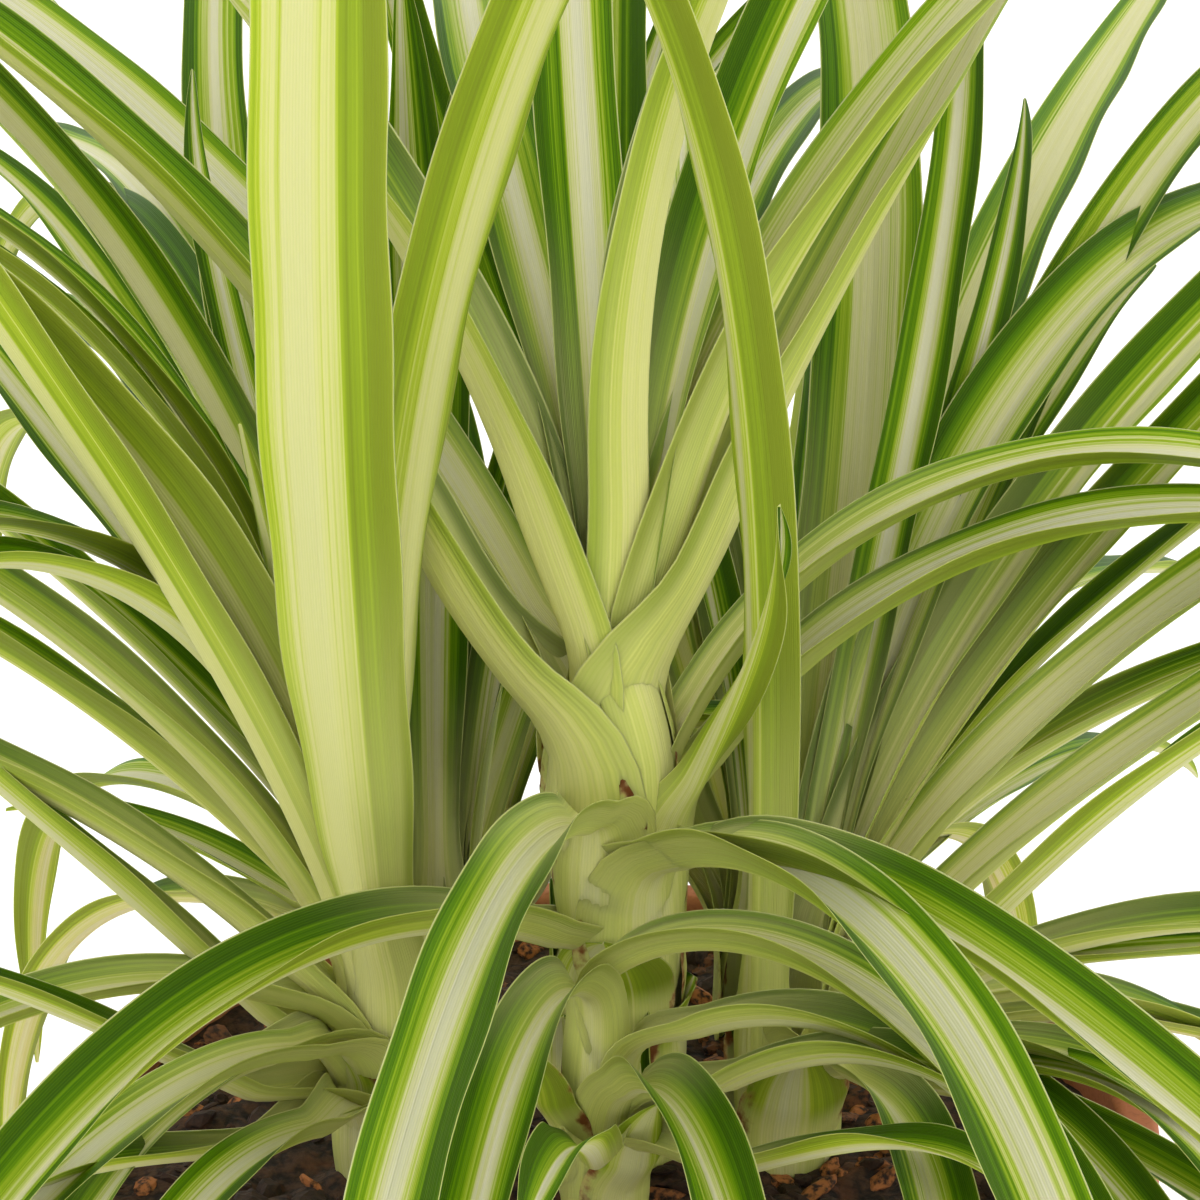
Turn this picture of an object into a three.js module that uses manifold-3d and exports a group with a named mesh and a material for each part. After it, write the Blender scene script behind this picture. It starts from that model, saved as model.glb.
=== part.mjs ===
// A variegated spider plant in a plain round pot: six crowns of folded strap leaves in bark soil.
// Millimetres, Z up. The origin is the centre of the pot's foot, which stands on Z = 0.
// Headings are degrees in plan: 0 is +X, 90 is +Y. Leans are degrees away from the upright.

import * as THREE from 'three';
import { mergeVertices } from 'three/addons/utils/BufferGeometryUtils.js';
import Module from 'manifold-3d';

const wasm = await Module();
wasm.setup();

// ---- Driving dimensions ----

const GAP = 0.3; // clearance between neighbouring pieces

const POT_HEIGHT = 176;
const POT_LIP_RADIUS = 111; // outside of the lip
const POT_FOOT_RADIUS = 76; // outside of the foot
const POT_WALL = 5;
const POT_FLOOR = 6;
const LIP_HEIGHT = 26;
const LIP_STEP = 3; // how far the lip stands out from the wall below it
const EDGE_ROUND = 2;
const DRAIN_HOLE_RADIUS = 5;
const DRAIN_HOLE_CIRCLE = 44;
const DRAIN_HOLE_COUNT = 5;
const DRAIN_HOLE_SIDES = 12;
const POT_SIDES = 36;

const SOIL_MIDDLE = 170; // height of the soil where the crowns stand
const SOIL_FALL = 4; // how much lower the soil lies beside the pot's wall
const SOIL_RELIEF = 1.3; // height of its gentle lumps, which are two crossed waves
const BROAD_WAVE = [0.19, 0.23]; // radians per millimetre along X and Y
const SHORT_WAVE = [0.31, 0.37];
const SHORT_WAVE_SHARE = 0.6;
const WAVE_DROP = 1.2; // keeps the lumps below the foot of the crowns
const SOIL_RINGS = 6;

const STEM_DEPTH = 30; // how deep each stem stands in the soil
const HOLE_OVERSHOOT = 10; // how far the cutter of a stem's hole stands above the soil
const STEM_SIDES = 12;
const SCAR_STEP = 9; // distance between the rings that old leaves left on a stem
const SCAR_RISE = 0.7;
const DOME_SHOULDER = 0.85; // radii of the stem's domed top, as shares of its radius
const DOME_CROWN = 0.4;

const LEAF_REACH = 6; // distance of a leaf's root from the axis of its stem
const LEAF_STEPS = 80; // fine steps along a leaf's fold
const BEND_PER_FACET = 38; // degrees
const FEWEST_FACETS = 3;
const MOST_FACETS = 7;
const FACET_CROWDING = 1.15; // above 1, facets are shorter near the root
const BLADE_THICKNESS = 0.7;
const SHEATH_THICKENING = 0.5;
const ROOT_WIDTH = 0.6; // width at the root, as a share of the leaf's width
const SHEATH_LENGTH = 40;
const FOLD_AT_ROOT = 72; // degrees that each half of the blade is folded up
const FOLD_AT_TIP = 30;
const FOLD_LENGTH = 55;
const NARROWEST_TIP = 1.4;
const TAPER_DELAY = 3.5; // the higher, the longer a leaf keeps its width
const TAPER_ROUNDING = 0.8;
const CLASPING = { sheath: 1.25 }; // a leaf whose sheath is wider than its blade

// ---- Crowns ----

// lean holds three angles: at the root, the pull in the middle, and at the tip. pace above 1 makes a
// leaf bend late, below 1 early. sweep is the turn of the heading from root to tip. rise is the height
// of the root above the soil, and reach its distance from the stem's axis. sheath is the width at the
// root as a share of the leaf's width.

const crowns = [
  {
    name: 'crown_centre',
    axis: [3, 0],
    stemRadius: 12,
    stemHeight: 84,
    leaves: [
      // the broad leaves that make the V
      { heading: 158, lean: [-12, 84, 65], pace: 0.8, sweep: -60, rise: 76,
        length: 400, width: 24, ...CLASPING },
      { heading: 36, lean: [-12, 77, 78], pace: 0.6, sweep: 60, rise: 76,
        length: 400, width: 24, ...CLASPING },
      { heading: 170, lean: [22, 51, 101], pace: 1.1, sweep: 4, rise: 70,
        length: 370, width: 24, ...CLASPING },
      { heading: 26, lean: [-12, 93, 83], pace: 0.9, sweep: 49, rise: 80,
        length: 380, width: 22, ...CLASPING },
      // upright leaves inside and behind the V
      { heading: -5, lean: [-12, 40, 69], pace: 1.1, sweep: -2, rise: 80,
        length: 400, width: 23, ...CLASPING },
      { heading: 134, lean: [30, 68, 95], pace: 0.7, sweep: -12, rise: 80, length: 360, width: 19 },
      { heading: 104, lean: [3, 56, 109], pace: 1, sweep: -26, rise: 80, length: 380, width: 20 },
      { heading: 120, lean: [-12, 88, 131], pace: 0.8, sweep: -52, rise: 80, length: 380, width: 20 },
      { heading: 91, lean: [10, 57, 108], pace: 1, sweep: -4, rise: 80, length: 330, width: 16 },
      { heading: 57, lean: [0, 58, 114], pace: 1, sweep: -4, rise: 80, length: 390, width: 20 },
      { heading: 77, lean: [29, 89, 128], pace: 1, sweep: -7, rise: 80, length: 340, width: 16 },
      // leaves that arch out to the right, and a short young one
      { heading: 20, lean: [11, 133, 174], pace: 1.1, sweep: -44, rise: 59, length: 330, width: 18 },
      { heading: 15, lean: [22, 112, 160], pace: 1.1, sweep: -50, rise: 52, length: 320, width: 20 },
      { heading: -34, lean: [22, 33, 38], pace: 1, sweep: -60, rise: 52, length: 120, width: 13 },
      // older leaves that arch over the front of the pot
      { heading: -103, lean: [29, 92, 127], pace: 0.5, sweep: 8, rise: 59,
        length: 360, width: 23, reach: 2 },
      { heading: -60, lean: [41, 98, 130], pace: 0.7, sweep: -32, rise: 48,
        length: 360, width: 24, reach: -4 },
      { heading: -62, lean: [5, 109, 119], pace: 0.5, sweep: 19, rise: 46, length: 380, width: 22 },
      { heading: -133, lean: [47, 119, 137], pace: 1, sweep: 29, rise: 30,
        length: 370, width: 22, reach: -6 },
    ],
  },
  {
    name: 'crown_left',
    axis: [-40, -8],
    stemRadius: 11,
    stemHeight: 34,
    leaves: [
      // the two tall leaves in front
      { heading: -100, lean: [27, 19, 33], pace: 1.1, sweep: 31, rise: 28, length: 430, width: 28 },
      { heading: -41, lean: [-9, 22, 74], pace: 0.9, sweep: -26, rise: 30, length: 420, width: 23 },
      // the broad fan to the left
      { heading: 224, lean: [5, 43, 76], pace: 0.9, sweep: -7, rise: 21, length: 400, width: 27 },
      { heading: 225, lean: [2, 37, 39], pace: 0.5, sweep: 16, rise: 21, length: 380, width: 18 },
      { heading: 157, lean: [1, 50, 114], pace: 1.2, sweep: 6, rise: 21, length: 400, width: 20 },
      { heading: 108, lean: [36, 126, 88], pace: 1.7, sweep: 2, rise: 24, length: 400, width: 18 },
      { heading: 111, lean: [30, 108, 138], pace: 1.5, sweep: 1, rise: 24, length: 380, width: 17 },
      { heading: 120, lean: [-5, 55, 72], pace: 0.5, sweep: -44, rise: 21, length: 400, width: 17 },
      { heading: 101, lean: [46, 99, 77], pace: 1.1, sweep: 9, rise: 24, length: 420, width: 22 },
      // two narrow young leaves
      { heading: 152, lean: [-1, 27, 65], pace: 1, sweep: -60, rise: 21, length: 215, width: 11 },
      { heading: 225, lean: [-3, 26, 21], pace: 0.8, sweep: 29, rise: 24, length: 150, width: 9 },
      // leaves that arch low to the left
      { heading: 178, lean: [3, 91, 152], pace: 1.8, sweep: 28, rise: 21, length: 380, width: 15 },
      { heading: 186, lean: [5, 79, 150], pace: 1.8, sweep: 28, rise: 21, length: 360, width: 14 },
      { heading: 201, lean: [5, 124, 168], pace: 1.6, sweep: 54, rise: 24, length: 330, width: 16 },
      { heading: 208, lean: [9, 120, 167], pace: 1.6, sweep: 60, rise: 24, length: 330, width: 17 },
      { heading: 188, lean: [3, 52, 92], pace: 0.6, sweep: -7, rise: 21, length: 370, width: 21 },
      { heading: 200, lean: [12, 57, 85], pace: 0.5, sweep: -8, rise: 16, length: 350, width: 20 },
      { heading: 201, lean: [-9, 110, 167], pace: 0.5, sweep: 14, rise: 15, length: 300, width: 18 },
      // short leaves over the soil at the left
      { heading: 223, lean: [10, 114, 166], pace: 0.5, sweep: 47, rise: 16, length: 240, width: 15 },
      { heading: 236, lean: [9, 98, 140], pace: 0.5, sweep: 2, rise: 13, length: 260, width: 16 },
      { heading: 214, lean: [71, 32, 79], pace: 0.6, sweep: 0, rise: 6, length: 190, width: 15 },
      { heading: 228, lean: [82, 50, 95], pace: 0.6, sweep: 29, rise: 6, length: 200, width: 15 },
      { heading: 247, lean: [55, 89, 117], pace: 1, sweep: 12, rise: 6, length: 180, width: 16 },
      // leaves that fill the gaps behind
      { heading: 129, lean: [26, 5, 92], pace: 0.7, sweep: 0, rise: 24, length: 237, width: 16 },
      { heading: -171, lean: [39, 43, 44], pace: 0.9, sweep: 42, rise: 8, length: 238, width: 18 },
    ],
  },
  {
    name: 'crown_right',
    axis: [36, 0],
    stemRadius: 13,
    stemHeight: 28,
    leaves: [
      // the upright leaves
      { heading: 238, lean: [0, -5, 84], pace: 1, sweep: -39, rise: 14, length: 400, width: 18, reach: 11 },
      { heading: 70, lean: [-3, 52, 72], pace: 0.5, sweep: 40, rise: 12, length: 430, width: 26 },
      { heading: 83, lean: [28, 73, 100], pace: 0.8, sweep: 3, rise: 12, length: 380, width: 16 },
      { heading: 52, lean: [4, 38, 70], pace: 0.8, sweep: 44, rise: 12, length: 300, width: 14 },
      { heading: 44, lean: [4, 45, 73], pace: 0.9, sweep: 42, rise: 13, length: 235, width: 12 },
      // the fan to the right
      { heading: 72, lean: [35, 96, 78], pace: 1.2, sweep: -1, rise: 13, length: 420, width: 23 },
      { heading: 51, lean: [10, 105, 158], pace: 1.4, sweep: 1, rise: 13, length: 380, width: 23 },
      { heading: 57, lean: [25, 58, 116], pace: 1.1, sweep: -5, rise: 13, length: 400, width: 19 },
      { heading: 31, lean: [5, 58, 89], pace: 0.7, sweep: 13, rise: 22, length: 380, width: 22 },
      { heading: 21, lean: [-9, 54, 77], pace: 0.5, sweep: 30, rise: 15, length: 370, width: 20 },
      { heading: 15, lean: [-2, 56, 97], pace: 0.5, sweep: 8, rise: 13, length: 370, width: 20 },
      { heading: 12, lean: [17, 63, 86], pace: 0.5, sweep: 6, rise: 11, length: 360, width: 19 },
      // low leaves that arch over the pot's rim
      { heading: -13, lean: [37, 115, 146], pace: 1, sweep: -18, rise: 9, length: 320, width: 18 },
      { heading: 23, lean: [44, 117, 142], pace: 0.5, sweep: -5, rise: 8, length: 280, width: 16 },
      { heading: 18, lean: [50, 157, 178], pace: 0.9, sweep: 23, rise: 10, length: 240, width: 15 },
      { heading: -35, lean: [40, 111, 145], pace: 1, sweep: -51, rise: 6, length: 240, width: 15 },
      { heading: -36, lean: [54, 87, 125], pace: 1.4, sweep: -45, rise: 6, length: 170, width: 14 },
      // leaves that fill gaps between the others
      { heading: -38, lean: [39, 29, 106], pace: 1, sweep: 6, rise: 7, length: 301, width: 17 },
      { heading: -37, lean: [26, 110, 85], pace: 0.6, sweep: -28, rise: 5, length: 165, width: 17 },
      { heading: -67, lean: [59, 113, 104], pace: 1.2, sweep: -40, rise: 16, length: 201, width: 18 },
      { heading: -43, lean: [28, 126, 102], pace: 0.9, sweep: -30, rise: 9, length: 158, width: 16 },
      { heading: -16, lean: [38, 110, 74], pace: 0.9, sweep: 25, rise: 18, length: 157, width: 15 },
    ],
  },
  {
    name: 'crown_front',
    axis: [0, -26],
    stemRadius: 12,
    stemHeight: 34,
    leaves: [
      { heading: -29, lean: [-12, 109, 173], pace: 0.6, sweep: -46, rise: 26,
        length: 250, width: 19, reach: -8 },
      { heading: -25, lean: [41, 137, 166], pace: 1.2, sweep: -60, rise: 20,
        length: 220, width: 17, reach: -3 },
      { heading: -30, lean: [44, 128, 158], pace: 1.5, sweep: -60, rise: 11, length: 220, width: 16 },
      { heading: -105, lean: [-12, 115, 163], pace: 0.6, sweep: 7, rise: 24,
        length: 240, width: 21, reach: -4 },
      { heading: -75, lean: [-8, 78, 128], pace: 0.5, sweep: -11, rise: 8, length: 220, width: 21 },
      { heading: -91, lean: [55, 53, 91], pace: 1.2, sweep: -8, rise: 6, length: 160, width: 17 },
      { heading: -45, lean: [78, 32, 96], pace: 0.7, sweep: -34, rise: 6, length: 170, width: 14 },
    ],
  },
  {
    name: 'crown_back_right',
    axis: [36, 48],
    stemRadius: 11,
    stemHeight: 16,
    leaves: [
      { heading: 62, lean: [49, 125, 108], pace: 1.1, sweep: 0, rise: 8, length: 330, width: 18 },
      { heading: 55, lean: [74, 98, 124], pace: 0.9, sweep: 13, rise: 8, length: 250, width: 16 },
      { heading: 48, lean: [7, 136, 178], pace: 0.6, sweep: 37, rise: 8, length: 220, width: 16 },
      { heading: 106, lean: [7, 86, 112], pace: 0.9, sweep: -30, rise: 8, length: 400, width: 20 },
      { heading: 134, lean: [3, 8, 40], pace: 1, sweep: 0, rise: 8, length: 150, width: 15 },
      { heading: 75, lean: [20, 100, 150], pace: 1, sweep: 25, rise: 8, length: 340, width: 19 },
      { heading: 108, lean: [16, 90, 140], pace: 1.2, sweep: -10, rise: 8, length: 360, width: 20 },
      // leaves that fill the gaps behind
      { heading: 45, lean: [25, 57, 82], pace: 1.4, sweep: 16, rise: 9, length: 198, width: 18 },
      { heading: 112, lean: [31, 50, 46], pace: 0.7, sweep: 5, rise: 9, length: 265, width: 17 },
      { heading: 135, lean: [27, 50, 19], pace: 0.8, sweep: -20, rise: 8, length: 283, width: 18 },
      { heading: 14, lean: [23, 55, 52], pace: 1.1, sweep: -33, rise: 5, length: 218, width: 15 },
      { heading: 9, lean: [23, 52, 113], pace: 0.6, sweep: -42, rise: 6, length: 295, width: 19 },
      { heading: 143, lean: [35, 36, 82], pace: 0.7, sweep: -25, rise: 7, length: 194, width: 20 },
    ],
  },
  {
    name: 'crown_back_left',
    axis: [-34, 46],
    stemRadius: 11,
    stemHeight: 16,
    leaves: [
      { heading: 135, lean: [18, 96, 172], pace: 0.9, sweep: -39, rise: 8, length: 380, width: 18 },
      { heading: 145, lean: [46, 134, 167], pace: 1, sweep: -50, rise: 8, length: 250, width: 16 },
      { heading: 141, lean: [69, 83, 111], pace: 1, sweep: -4, rise: 8, length: 130, width: 14 },
      { heading: 146, lean: [67, 146, 162], pace: 1, sweep: -38, rise: 8, length: 230, width: 16 },
      { heading: 118, lean: [34, 90, 124], pace: 0.9, sweep: -9, rise: 8, length: 400, width: 18 },
      { heading: 85, lean: [-2, 8, 30], pace: 1, sweep: 0, rise: 8, length: 190, width: 18 },
      { heading: 20, lean: [4, 10, 45], pace: 0.9, sweep: 50, rise: 8, length: 225, width: 16 },
      { heading: 100, lean: [24, 104, 150], pace: 1, sweep: -20, rise: 8, length: 330, width: 19 },
      // leaves that fill the gaps behind
      { heading: 64, lean: [39, 35, 113], pace: 0.7, sweep: 22, rise: 5, length: 162, width: 15 },
      { heading: 65, lean: [6, 28, 61], pace: 1.2, sweep: -47, rise: 8, length: 267, width: 15 },
      { heading: 66, lean: [2, 18, 84], pace: 0.9, sweep: 48, rise: 8, length: 166, width: 16 },
      { heading: 176, lean: [19, 51, 48], pace: 0.8, sweep: 10, rise: 7, length: 208, width: 23 },
      { heading: -172, lean: [39, 44, 119], pace: 1.2, sweep: 42, rise: 8, length: 289, width: 21 },
      { heading: 147, lean: [24, 51, 84], pace: 0.6, sweep: -35, rise: 8, length: 259, width: 16 },
      { heading: 72, lean: [38, 46, 65], pace: 0.7, sweep: -19, rise: 9, length: 200, width: 16 },
      { heading: 89, lean: [4, 21, 8], pace: 0.5, sweep: 20, rise: 11, length: 211, width: 23 },
      { heading: -10, lean: [32, 7, 114], pace: 1.4, sweep: -25, rise: 6, length: 112, width: 23 },
    ],
  },
];

// ---- From three.js geometry to closed solids and back ----

function solidOf(geometry) {
  const bare = geometry.clone();
  bare.deleteAttribute('normal');
  bare.deleteAttribute('uv');
  const merged = mergeVertices(bare, 1e-4);
  const corners = [];
  const index = merged.index.array;
  for (let i = 0; i < index.length; i += 3) {
    const [a, b, c] = [index[i], index[i + 1], index[i + 2]];
    if (a !== b && b !== c && c !== a) corners.push(a, b, c);
  }
  return new wasm.Manifold(
    new wasm.Mesh({
      numProp: 3,
      vertProperties: new Float32Array(merged.attributes.position.array),
      triVerts: new Uint32Array(corners),
    }),
  );
}

function geometryOf(solid) {
  const mesh = solid.getMesh();
  const geometry = new THREE.BufferGeometry();
  geometry.setAttribute('position', new THREE.BufferAttribute(new Float32Array(mesh.vertProperties), 3));
  geometry.setIndex(new THREE.BufferAttribute(new Uint32Array(mesh.triVerts), 1));
  geometry.computeVertexNormals();
  return geometry;
}

function uprightCylinder(radius, bottom, top, sides, [x, y]) {
  const geometry = new THREE.CylinderGeometry(radius, radius, top - bottom, sides);
  geometry.rotateX(Math.PI / 2);
  geometry.translate(x, y, (bottom + top) / 2);
  return solidOf(geometry);
}

// LatheGeometry turns about Y, so a profile of [radius, height] points is tipped up to turn about Z.
function turned(profile, sides) {
  const points = profile.map(([radius, height]) => new THREE.Vector2(radius, height));
  const geometry = new THREE.LatheGeometry(points, sides);
  geometry.rotateX(Math.PI / 2);
  return geometry;
}

// ---- Pot ----

const lipBottom = POT_HEIGHT - LIP_HEIGHT;

function outerRadiusAt(height) {
  const rise = height / lipBottom;
  return POT_FOOT_RADIUS + (POT_LIP_RADIUS - LIP_STEP - POT_FOOT_RADIUS) * rise;
}

function innerRadiusAt(height) {
  return Math.min(outerRadiusAt(height), outerRadiusAt(lipBottom)) - POT_WALL;
}

function makePot() {
  const profile = [
    [0, 0],
    [POT_FOOT_RADIUS - EDGE_ROUND, 0],
    [outerRadiusAt(EDGE_ROUND), EDGE_ROUND],
    [outerRadiusAt(lipBottom), lipBottom],
    [POT_LIP_RADIUS - EDGE_ROUND / 2, lipBottom],
    [POT_LIP_RADIUS, lipBottom + EDGE_ROUND],
    [POT_LIP_RADIUS, POT_HEIGHT - EDGE_ROUND],
    [POT_LIP_RADIUS - EDGE_ROUND, POT_HEIGHT],
    [innerRadiusAt(POT_HEIGHT) + EDGE_ROUND / 2, POT_HEIGHT],
    [innerRadiusAt(POT_HEIGHT), POT_HEIGHT - EDGE_ROUND],
    [innerRadiusAt(lipBottom), lipBottom],
    [innerRadiusAt(POT_FLOOR), POT_FLOOR],
    [0, POT_FLOOR],
  ];
  let pot = solidOf(turned(profile, POT_SIDES));
  for (let hole = 0; hole < DRAIN_HOLE_COUNT; hole += 1) {
    const angle = (hole / DRAIN_HOLE_COUNT) * 2 * Math.PI;
    const place = [DRAIN_HOLE_CIRCLE * Math.cos(angle), DRAIN_HOLE_CIRCLE * Math.sin(angle)];
    pot = pot.subtract(uprightCylinder(DRAIN_HOLE_RADIUS, -1, POT_FLOOR + 1, DRAIN_HOLE_SIDES, place));
  }
  return pot;
}

// ---- Soil ----

function soilHeightAt(x, y) {
  const edge = innerRadiusAt(POT_HEIGHT);
  const broad = Math.sin(x * BROAD_WAVE[0] + 1) * Math.cos(y * BROAD_WAVE[1]);
  const short = SHORT_WAVE_SHARE * Math.sin(x * SHORT_WAVE[0] - y * SHORT_WAVE[1]);
  const outward = Math.hypot(x, y) / edge;
  return SOIL_MIDDLE - SOIL_FALL * outward ** 3 + SOIL_RELIEF * (broad + short - WAVE_DROP);
}

function makeSoil() {
  const bottom = POT_FLOOR + GAP;
  const rim = innerRadiusAt(SOIL_MIDDLE) - GAP;
  const profile = [
    [0, bottom],
    [innerRadiusAt(bottom) - GAP, bottom],
    [innerRadiusAt(lipBottom) - GAP, lipBottom],
  ];
  for (let ring = SOIL_RINGS; ring >= 0; ring -= 1) {
    profile.push([(rim * ring) / SOIL_RINGS, SOIL_MIDDLE]);
  }
  const geometry = turned(profile, POT_SIDES);
  const points = geometry.attributes.position;
  for (let i = 0; i < points.count; i += 1) {
    if (points.getZ(i) > SOIL_MIDDLE - 1) {
      points.setZ(i, soilHeightAt(points.getX(i), points.getY(i)));
    }
  }
  let soil = solidOf(geometry);
  for (const crown of crowns) {
    const bed = SOIL_MIDDLE - STEM_DEPTH - GAP;
    const top = SOIL_MIDDLE + HOLE_OVERSHOOT;
    const hole = uprightCylinder(crown.stemRadius + GAP, bed, top, STEM_SIDES, crown.axis);
    soil = soil.subtract(hole);
  }
  return soil;
}

// ---- Leaves ----

const radians = (degrees) => (degrees * Math.PI) / 180;

// The points of a leaf's fold, from root to tip. The lean blends its three angles along the leaf.
function foldLine(crown, leaf) {
  const { heading, lean, pace, sweep, rise, length, reach = LEAF_REACH } = leaf;
  const [atRoot, pull, atTip] = lean;
  const start = radians(heading);
  const points = [
    new THREE.Vector3(
      crown.axis[0] + reach * Math.cos(start),
      crown.axis[1] + reach * Math.sin(start),
      SOIL_MIDDLE + rise,
    ),
  ];
  for (let step = 0; step < LEAF_STEPS; step += 1) {
    const along = (step + 0.5) / LEAF_STEPS;
    const blend = along ** pace;
    const leanNow = atRoot * (1 - blend) ** 2 + 2 * pull * blend * (1 - blend) + atTip * blend ** 2;
    const headingNow = radians(heading + sweep * along);
    const out = Math.sin(radians(leanNow));
    const direction = new THREE.Vector3(
      out * Math.cos(headingNow),
      out * Math.sin(headingNow),
      Math.cos(radians(leanNow)),
    );
    points.push(points[step].clone().addScaledVector(direction, length / LEAF_STEPS));
  }
  return points;
}

function widthAt(leaf, along) {
  const { width, length, sheath = ROOT_WIDTH } = leaf;
  const nearRoot = Math.exp((-along * length) / SHEATH_LENGTH);
  const share = 1 + (sheath - 1) * nearRoot;
  return Math.max(width * share * (1 - along ** TAPER_DELAY) ** TAPER_ROUNDING, NARROWEST_TIP);
}

function foldAt(leaf, along) {
  const closed = Math.exp((-along * leaf.length) / FOLD_LENGTH);
  return radians(FOLD_AT_TIP + (FOLD_AT_ROOT - FOLD_AT_TIP) * closed);
}

// The six corners across a folded blade: three on the upper face, three on the lower face.
function cornersAcross(leaf, points, step) {
  const along = step / LEAF_STEPS;
  const before = points[Math.max(step - 1, 0)];
  const after = points[Math.min(step + 1, LEAF_STEPS)];
  const forward = after.clone().sub(before).normalize();
  const heading = radians(leaf.heading + leaf.sweep * along);
  const side = new THREE.Vector3(Math.sin(heading), -Math.cos(heading), 0);
  side.addScaledVector(forward, -side.dot(forward)).normalize();
  const face = side.clone().cross(forward);

  const halfWidth = widthAt(leaf, along) / 2;
  const fold = foldAt(leaf, along);
  const thickening = SHEATH_THICKENING * Math.exp((-along * leaf.length) / SHEATH_LENGTH);
  const thickness = BLADE_THICKNESS + thickening;
  const ridge = points[step];
  const corner = (sideways, facing) =>
    ridge.clone().addScaledVector(side, sideways).addScaledVector(face, facing);
  const across = halfWidth * Math.cos(fold);
  const up = halfWidth * Math.sin(fold);
  const inset = thickness * Math.sin(fold);
  const drop = thickness * Math.cos(fold);
  return [
    corner(across, up),
    corner(0, 0),
    corner(-across, up),
    corner(-across - inset, up - drop),
    corner(0, -thickness / Math.cos(fold)),
    corner(across + inset, up - drop),
  ];
}

// Pairs of neighbouring corners around the section; turn says which way the four-sided facet between
// two sections is split, so that both faces of the blade are split alike.
const facetPairs = [
  { from: 0, to: 1, turn: false },
  { from: 1, to: 2, turn: true },
  { from: 2, to: 3, turn: false },
  { from: 3, to: 4, turn: false },
  { from: 4, to: 5, turn: true },
  { from: 5, to: 0, turn: false },
];
const endTriangles = [
  [0, 1, 4],
  [0, 4, 5],
  [1, 2, 3],
  [1, 3, 4],
];

function facetCount(leaf) {
  const [atRoot, pull, atTip] = leaf.lean;
  const bend = Math.abs(pull - atRoot) + Math.abs(atTip - pull) + Math.abs(leaf.sweep);
  return Math.min(Math.max(Math.round(bend / BEND_PER_FACET), FEWEST_FACETS), MOST_FACETS);
}

function makeLeaf(crown, leaf) {
  const points = foldLine(crown, leaf);
  const facets = facetCount(leaf);
  const positions = [];
  const corners = [];
  for (let ring = 0; ring <= facets; ring += 1) {
    const step = Math.round((ring / facets) ** FACET_CROWDING * LEAF_STEPS);
    for (const corner of cornersAcross(leaf, points, step)) {
      positions.push(corner.x, corner.y, corner.z);
    }
  }
  for (let ring = 0; ring < facets; ring += 1) {
    const here = ring * 6;
    const next = here + 6;
    for (const { from, to, turn } of facetPairs) {
      if (turn) {
        corners.push(here + from, next + from, here + to, here + to, next + from, next + to);
      } else {
        corners.push(here + from, next + from, next + to, here + from, next + to, here + to);
      }
    }
  }
  const last = facets * 6;
  for (const [a, b, c] of endTriangles) {
    corners.push(a, b, c);
    corners.push(last + a, last + c, last + b);
  }
  const geometry = new THREE.BufferGeometry();
  geometry.setAttribute('position', new THREE.Float32BufferAttribute(positions, 3));
  geometry.setIndex(corners);
  return solidOf(geometry);
}

// ---- Crowns: a fleshy stem with its leaves, grown as one piece ----

function makeStem(crown) {
  const bottom = SOIL_MIDDLE - STEM_DEPTH;
  const top = SOIL_MIDDLE + crown.stemHeight;
  const profile = [
    [0, bottom],
    [crown.stemRadius, bottom],
    [crown.stemRadius, SOIL_MIDDLE],
  ];
  for (let height = SOIL_MIDDLE + SCAR_STEP; height < top - SCAR_STEP; height += SCAR_STEP) {
    profile.push([crown.stemRadius - SCAR_RISE, height - SCAR_STEP / 3]);
    profile.push([crown.stemRadius, height]);
  }
  profile.push([crown.stemRadius * DOME_SHOULDER, top - SCAR_STEP / 2]);
  profile.push([crown.stemRadius * DOME_CROWN, top]);
  profile.push([0, top]);
  const geometry = turned(profile, STEM_SIDES);
  geometry.translate(crown.axis[0], crown.axis[1], 0);
  return solidOf(geometry);
}

// Fusing can seal small hollows between sheaths or leave a loose scrap, so only the outer body is kept.
function outerBody(solid) {
  const bodies = solid.decompose();
  return bodies.reduce((best, body) => (body.volume() > best.volume() ? body : best));
}

function makeCrown(crown) {
  let plant = makeStem(crown);
  for (const leaf of crown.leaves) {
    plant = plant.add(makeLeaf(crown, leaf));
  }
  return outerBody(plant);
}

// ---- Scene graph ----

const terracotta = { color: 0xb5714c, roughness: 0.85, metalness: 0 };
const barkSoil = { color: 0x35241a, roughness: 0.95, metalness: 0 };
const leafGreen = { color: 0xb4c062, roughness: 0.45, metalness: 0 };

function addPiece(group, name, solid, finish) {
  const mesh = new THREE.Mesh(geometryOf(solid), new THREE.MeshStandardMaterial(finish));
  mesh.name = name;
  group.add(mesh);
}

const plant = new THREE.Group();
addPiece(plant, 'pot', makePot(), terracotta);
addPiece(plant, 'soil', makeSoil(), barkSoil);
for (const crown of crowns) {
  addPiece(plant, crown.name, makeCrown(crown), leafGreen);
}

export default plant;
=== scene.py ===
# %% [markdown]
# # A potted spider plant
# Six crowns of long, folded, striped leaves stand in bark soil in a plain clay pot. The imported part
# gives every place and size. This lesson lays fine leaves, stems, soil and a pot over its solids.
# Blender works in metres, with Z up and the middle of the pot's foot at the origin. The plant's own
# sizes are written in millimetres here, and MM turns them into metres.

import random
from math import cos, exp, hypot, pi, radians, sin
from types import SimpleNamespace

import bmesh
import bpy
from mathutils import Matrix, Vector, noise


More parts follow.
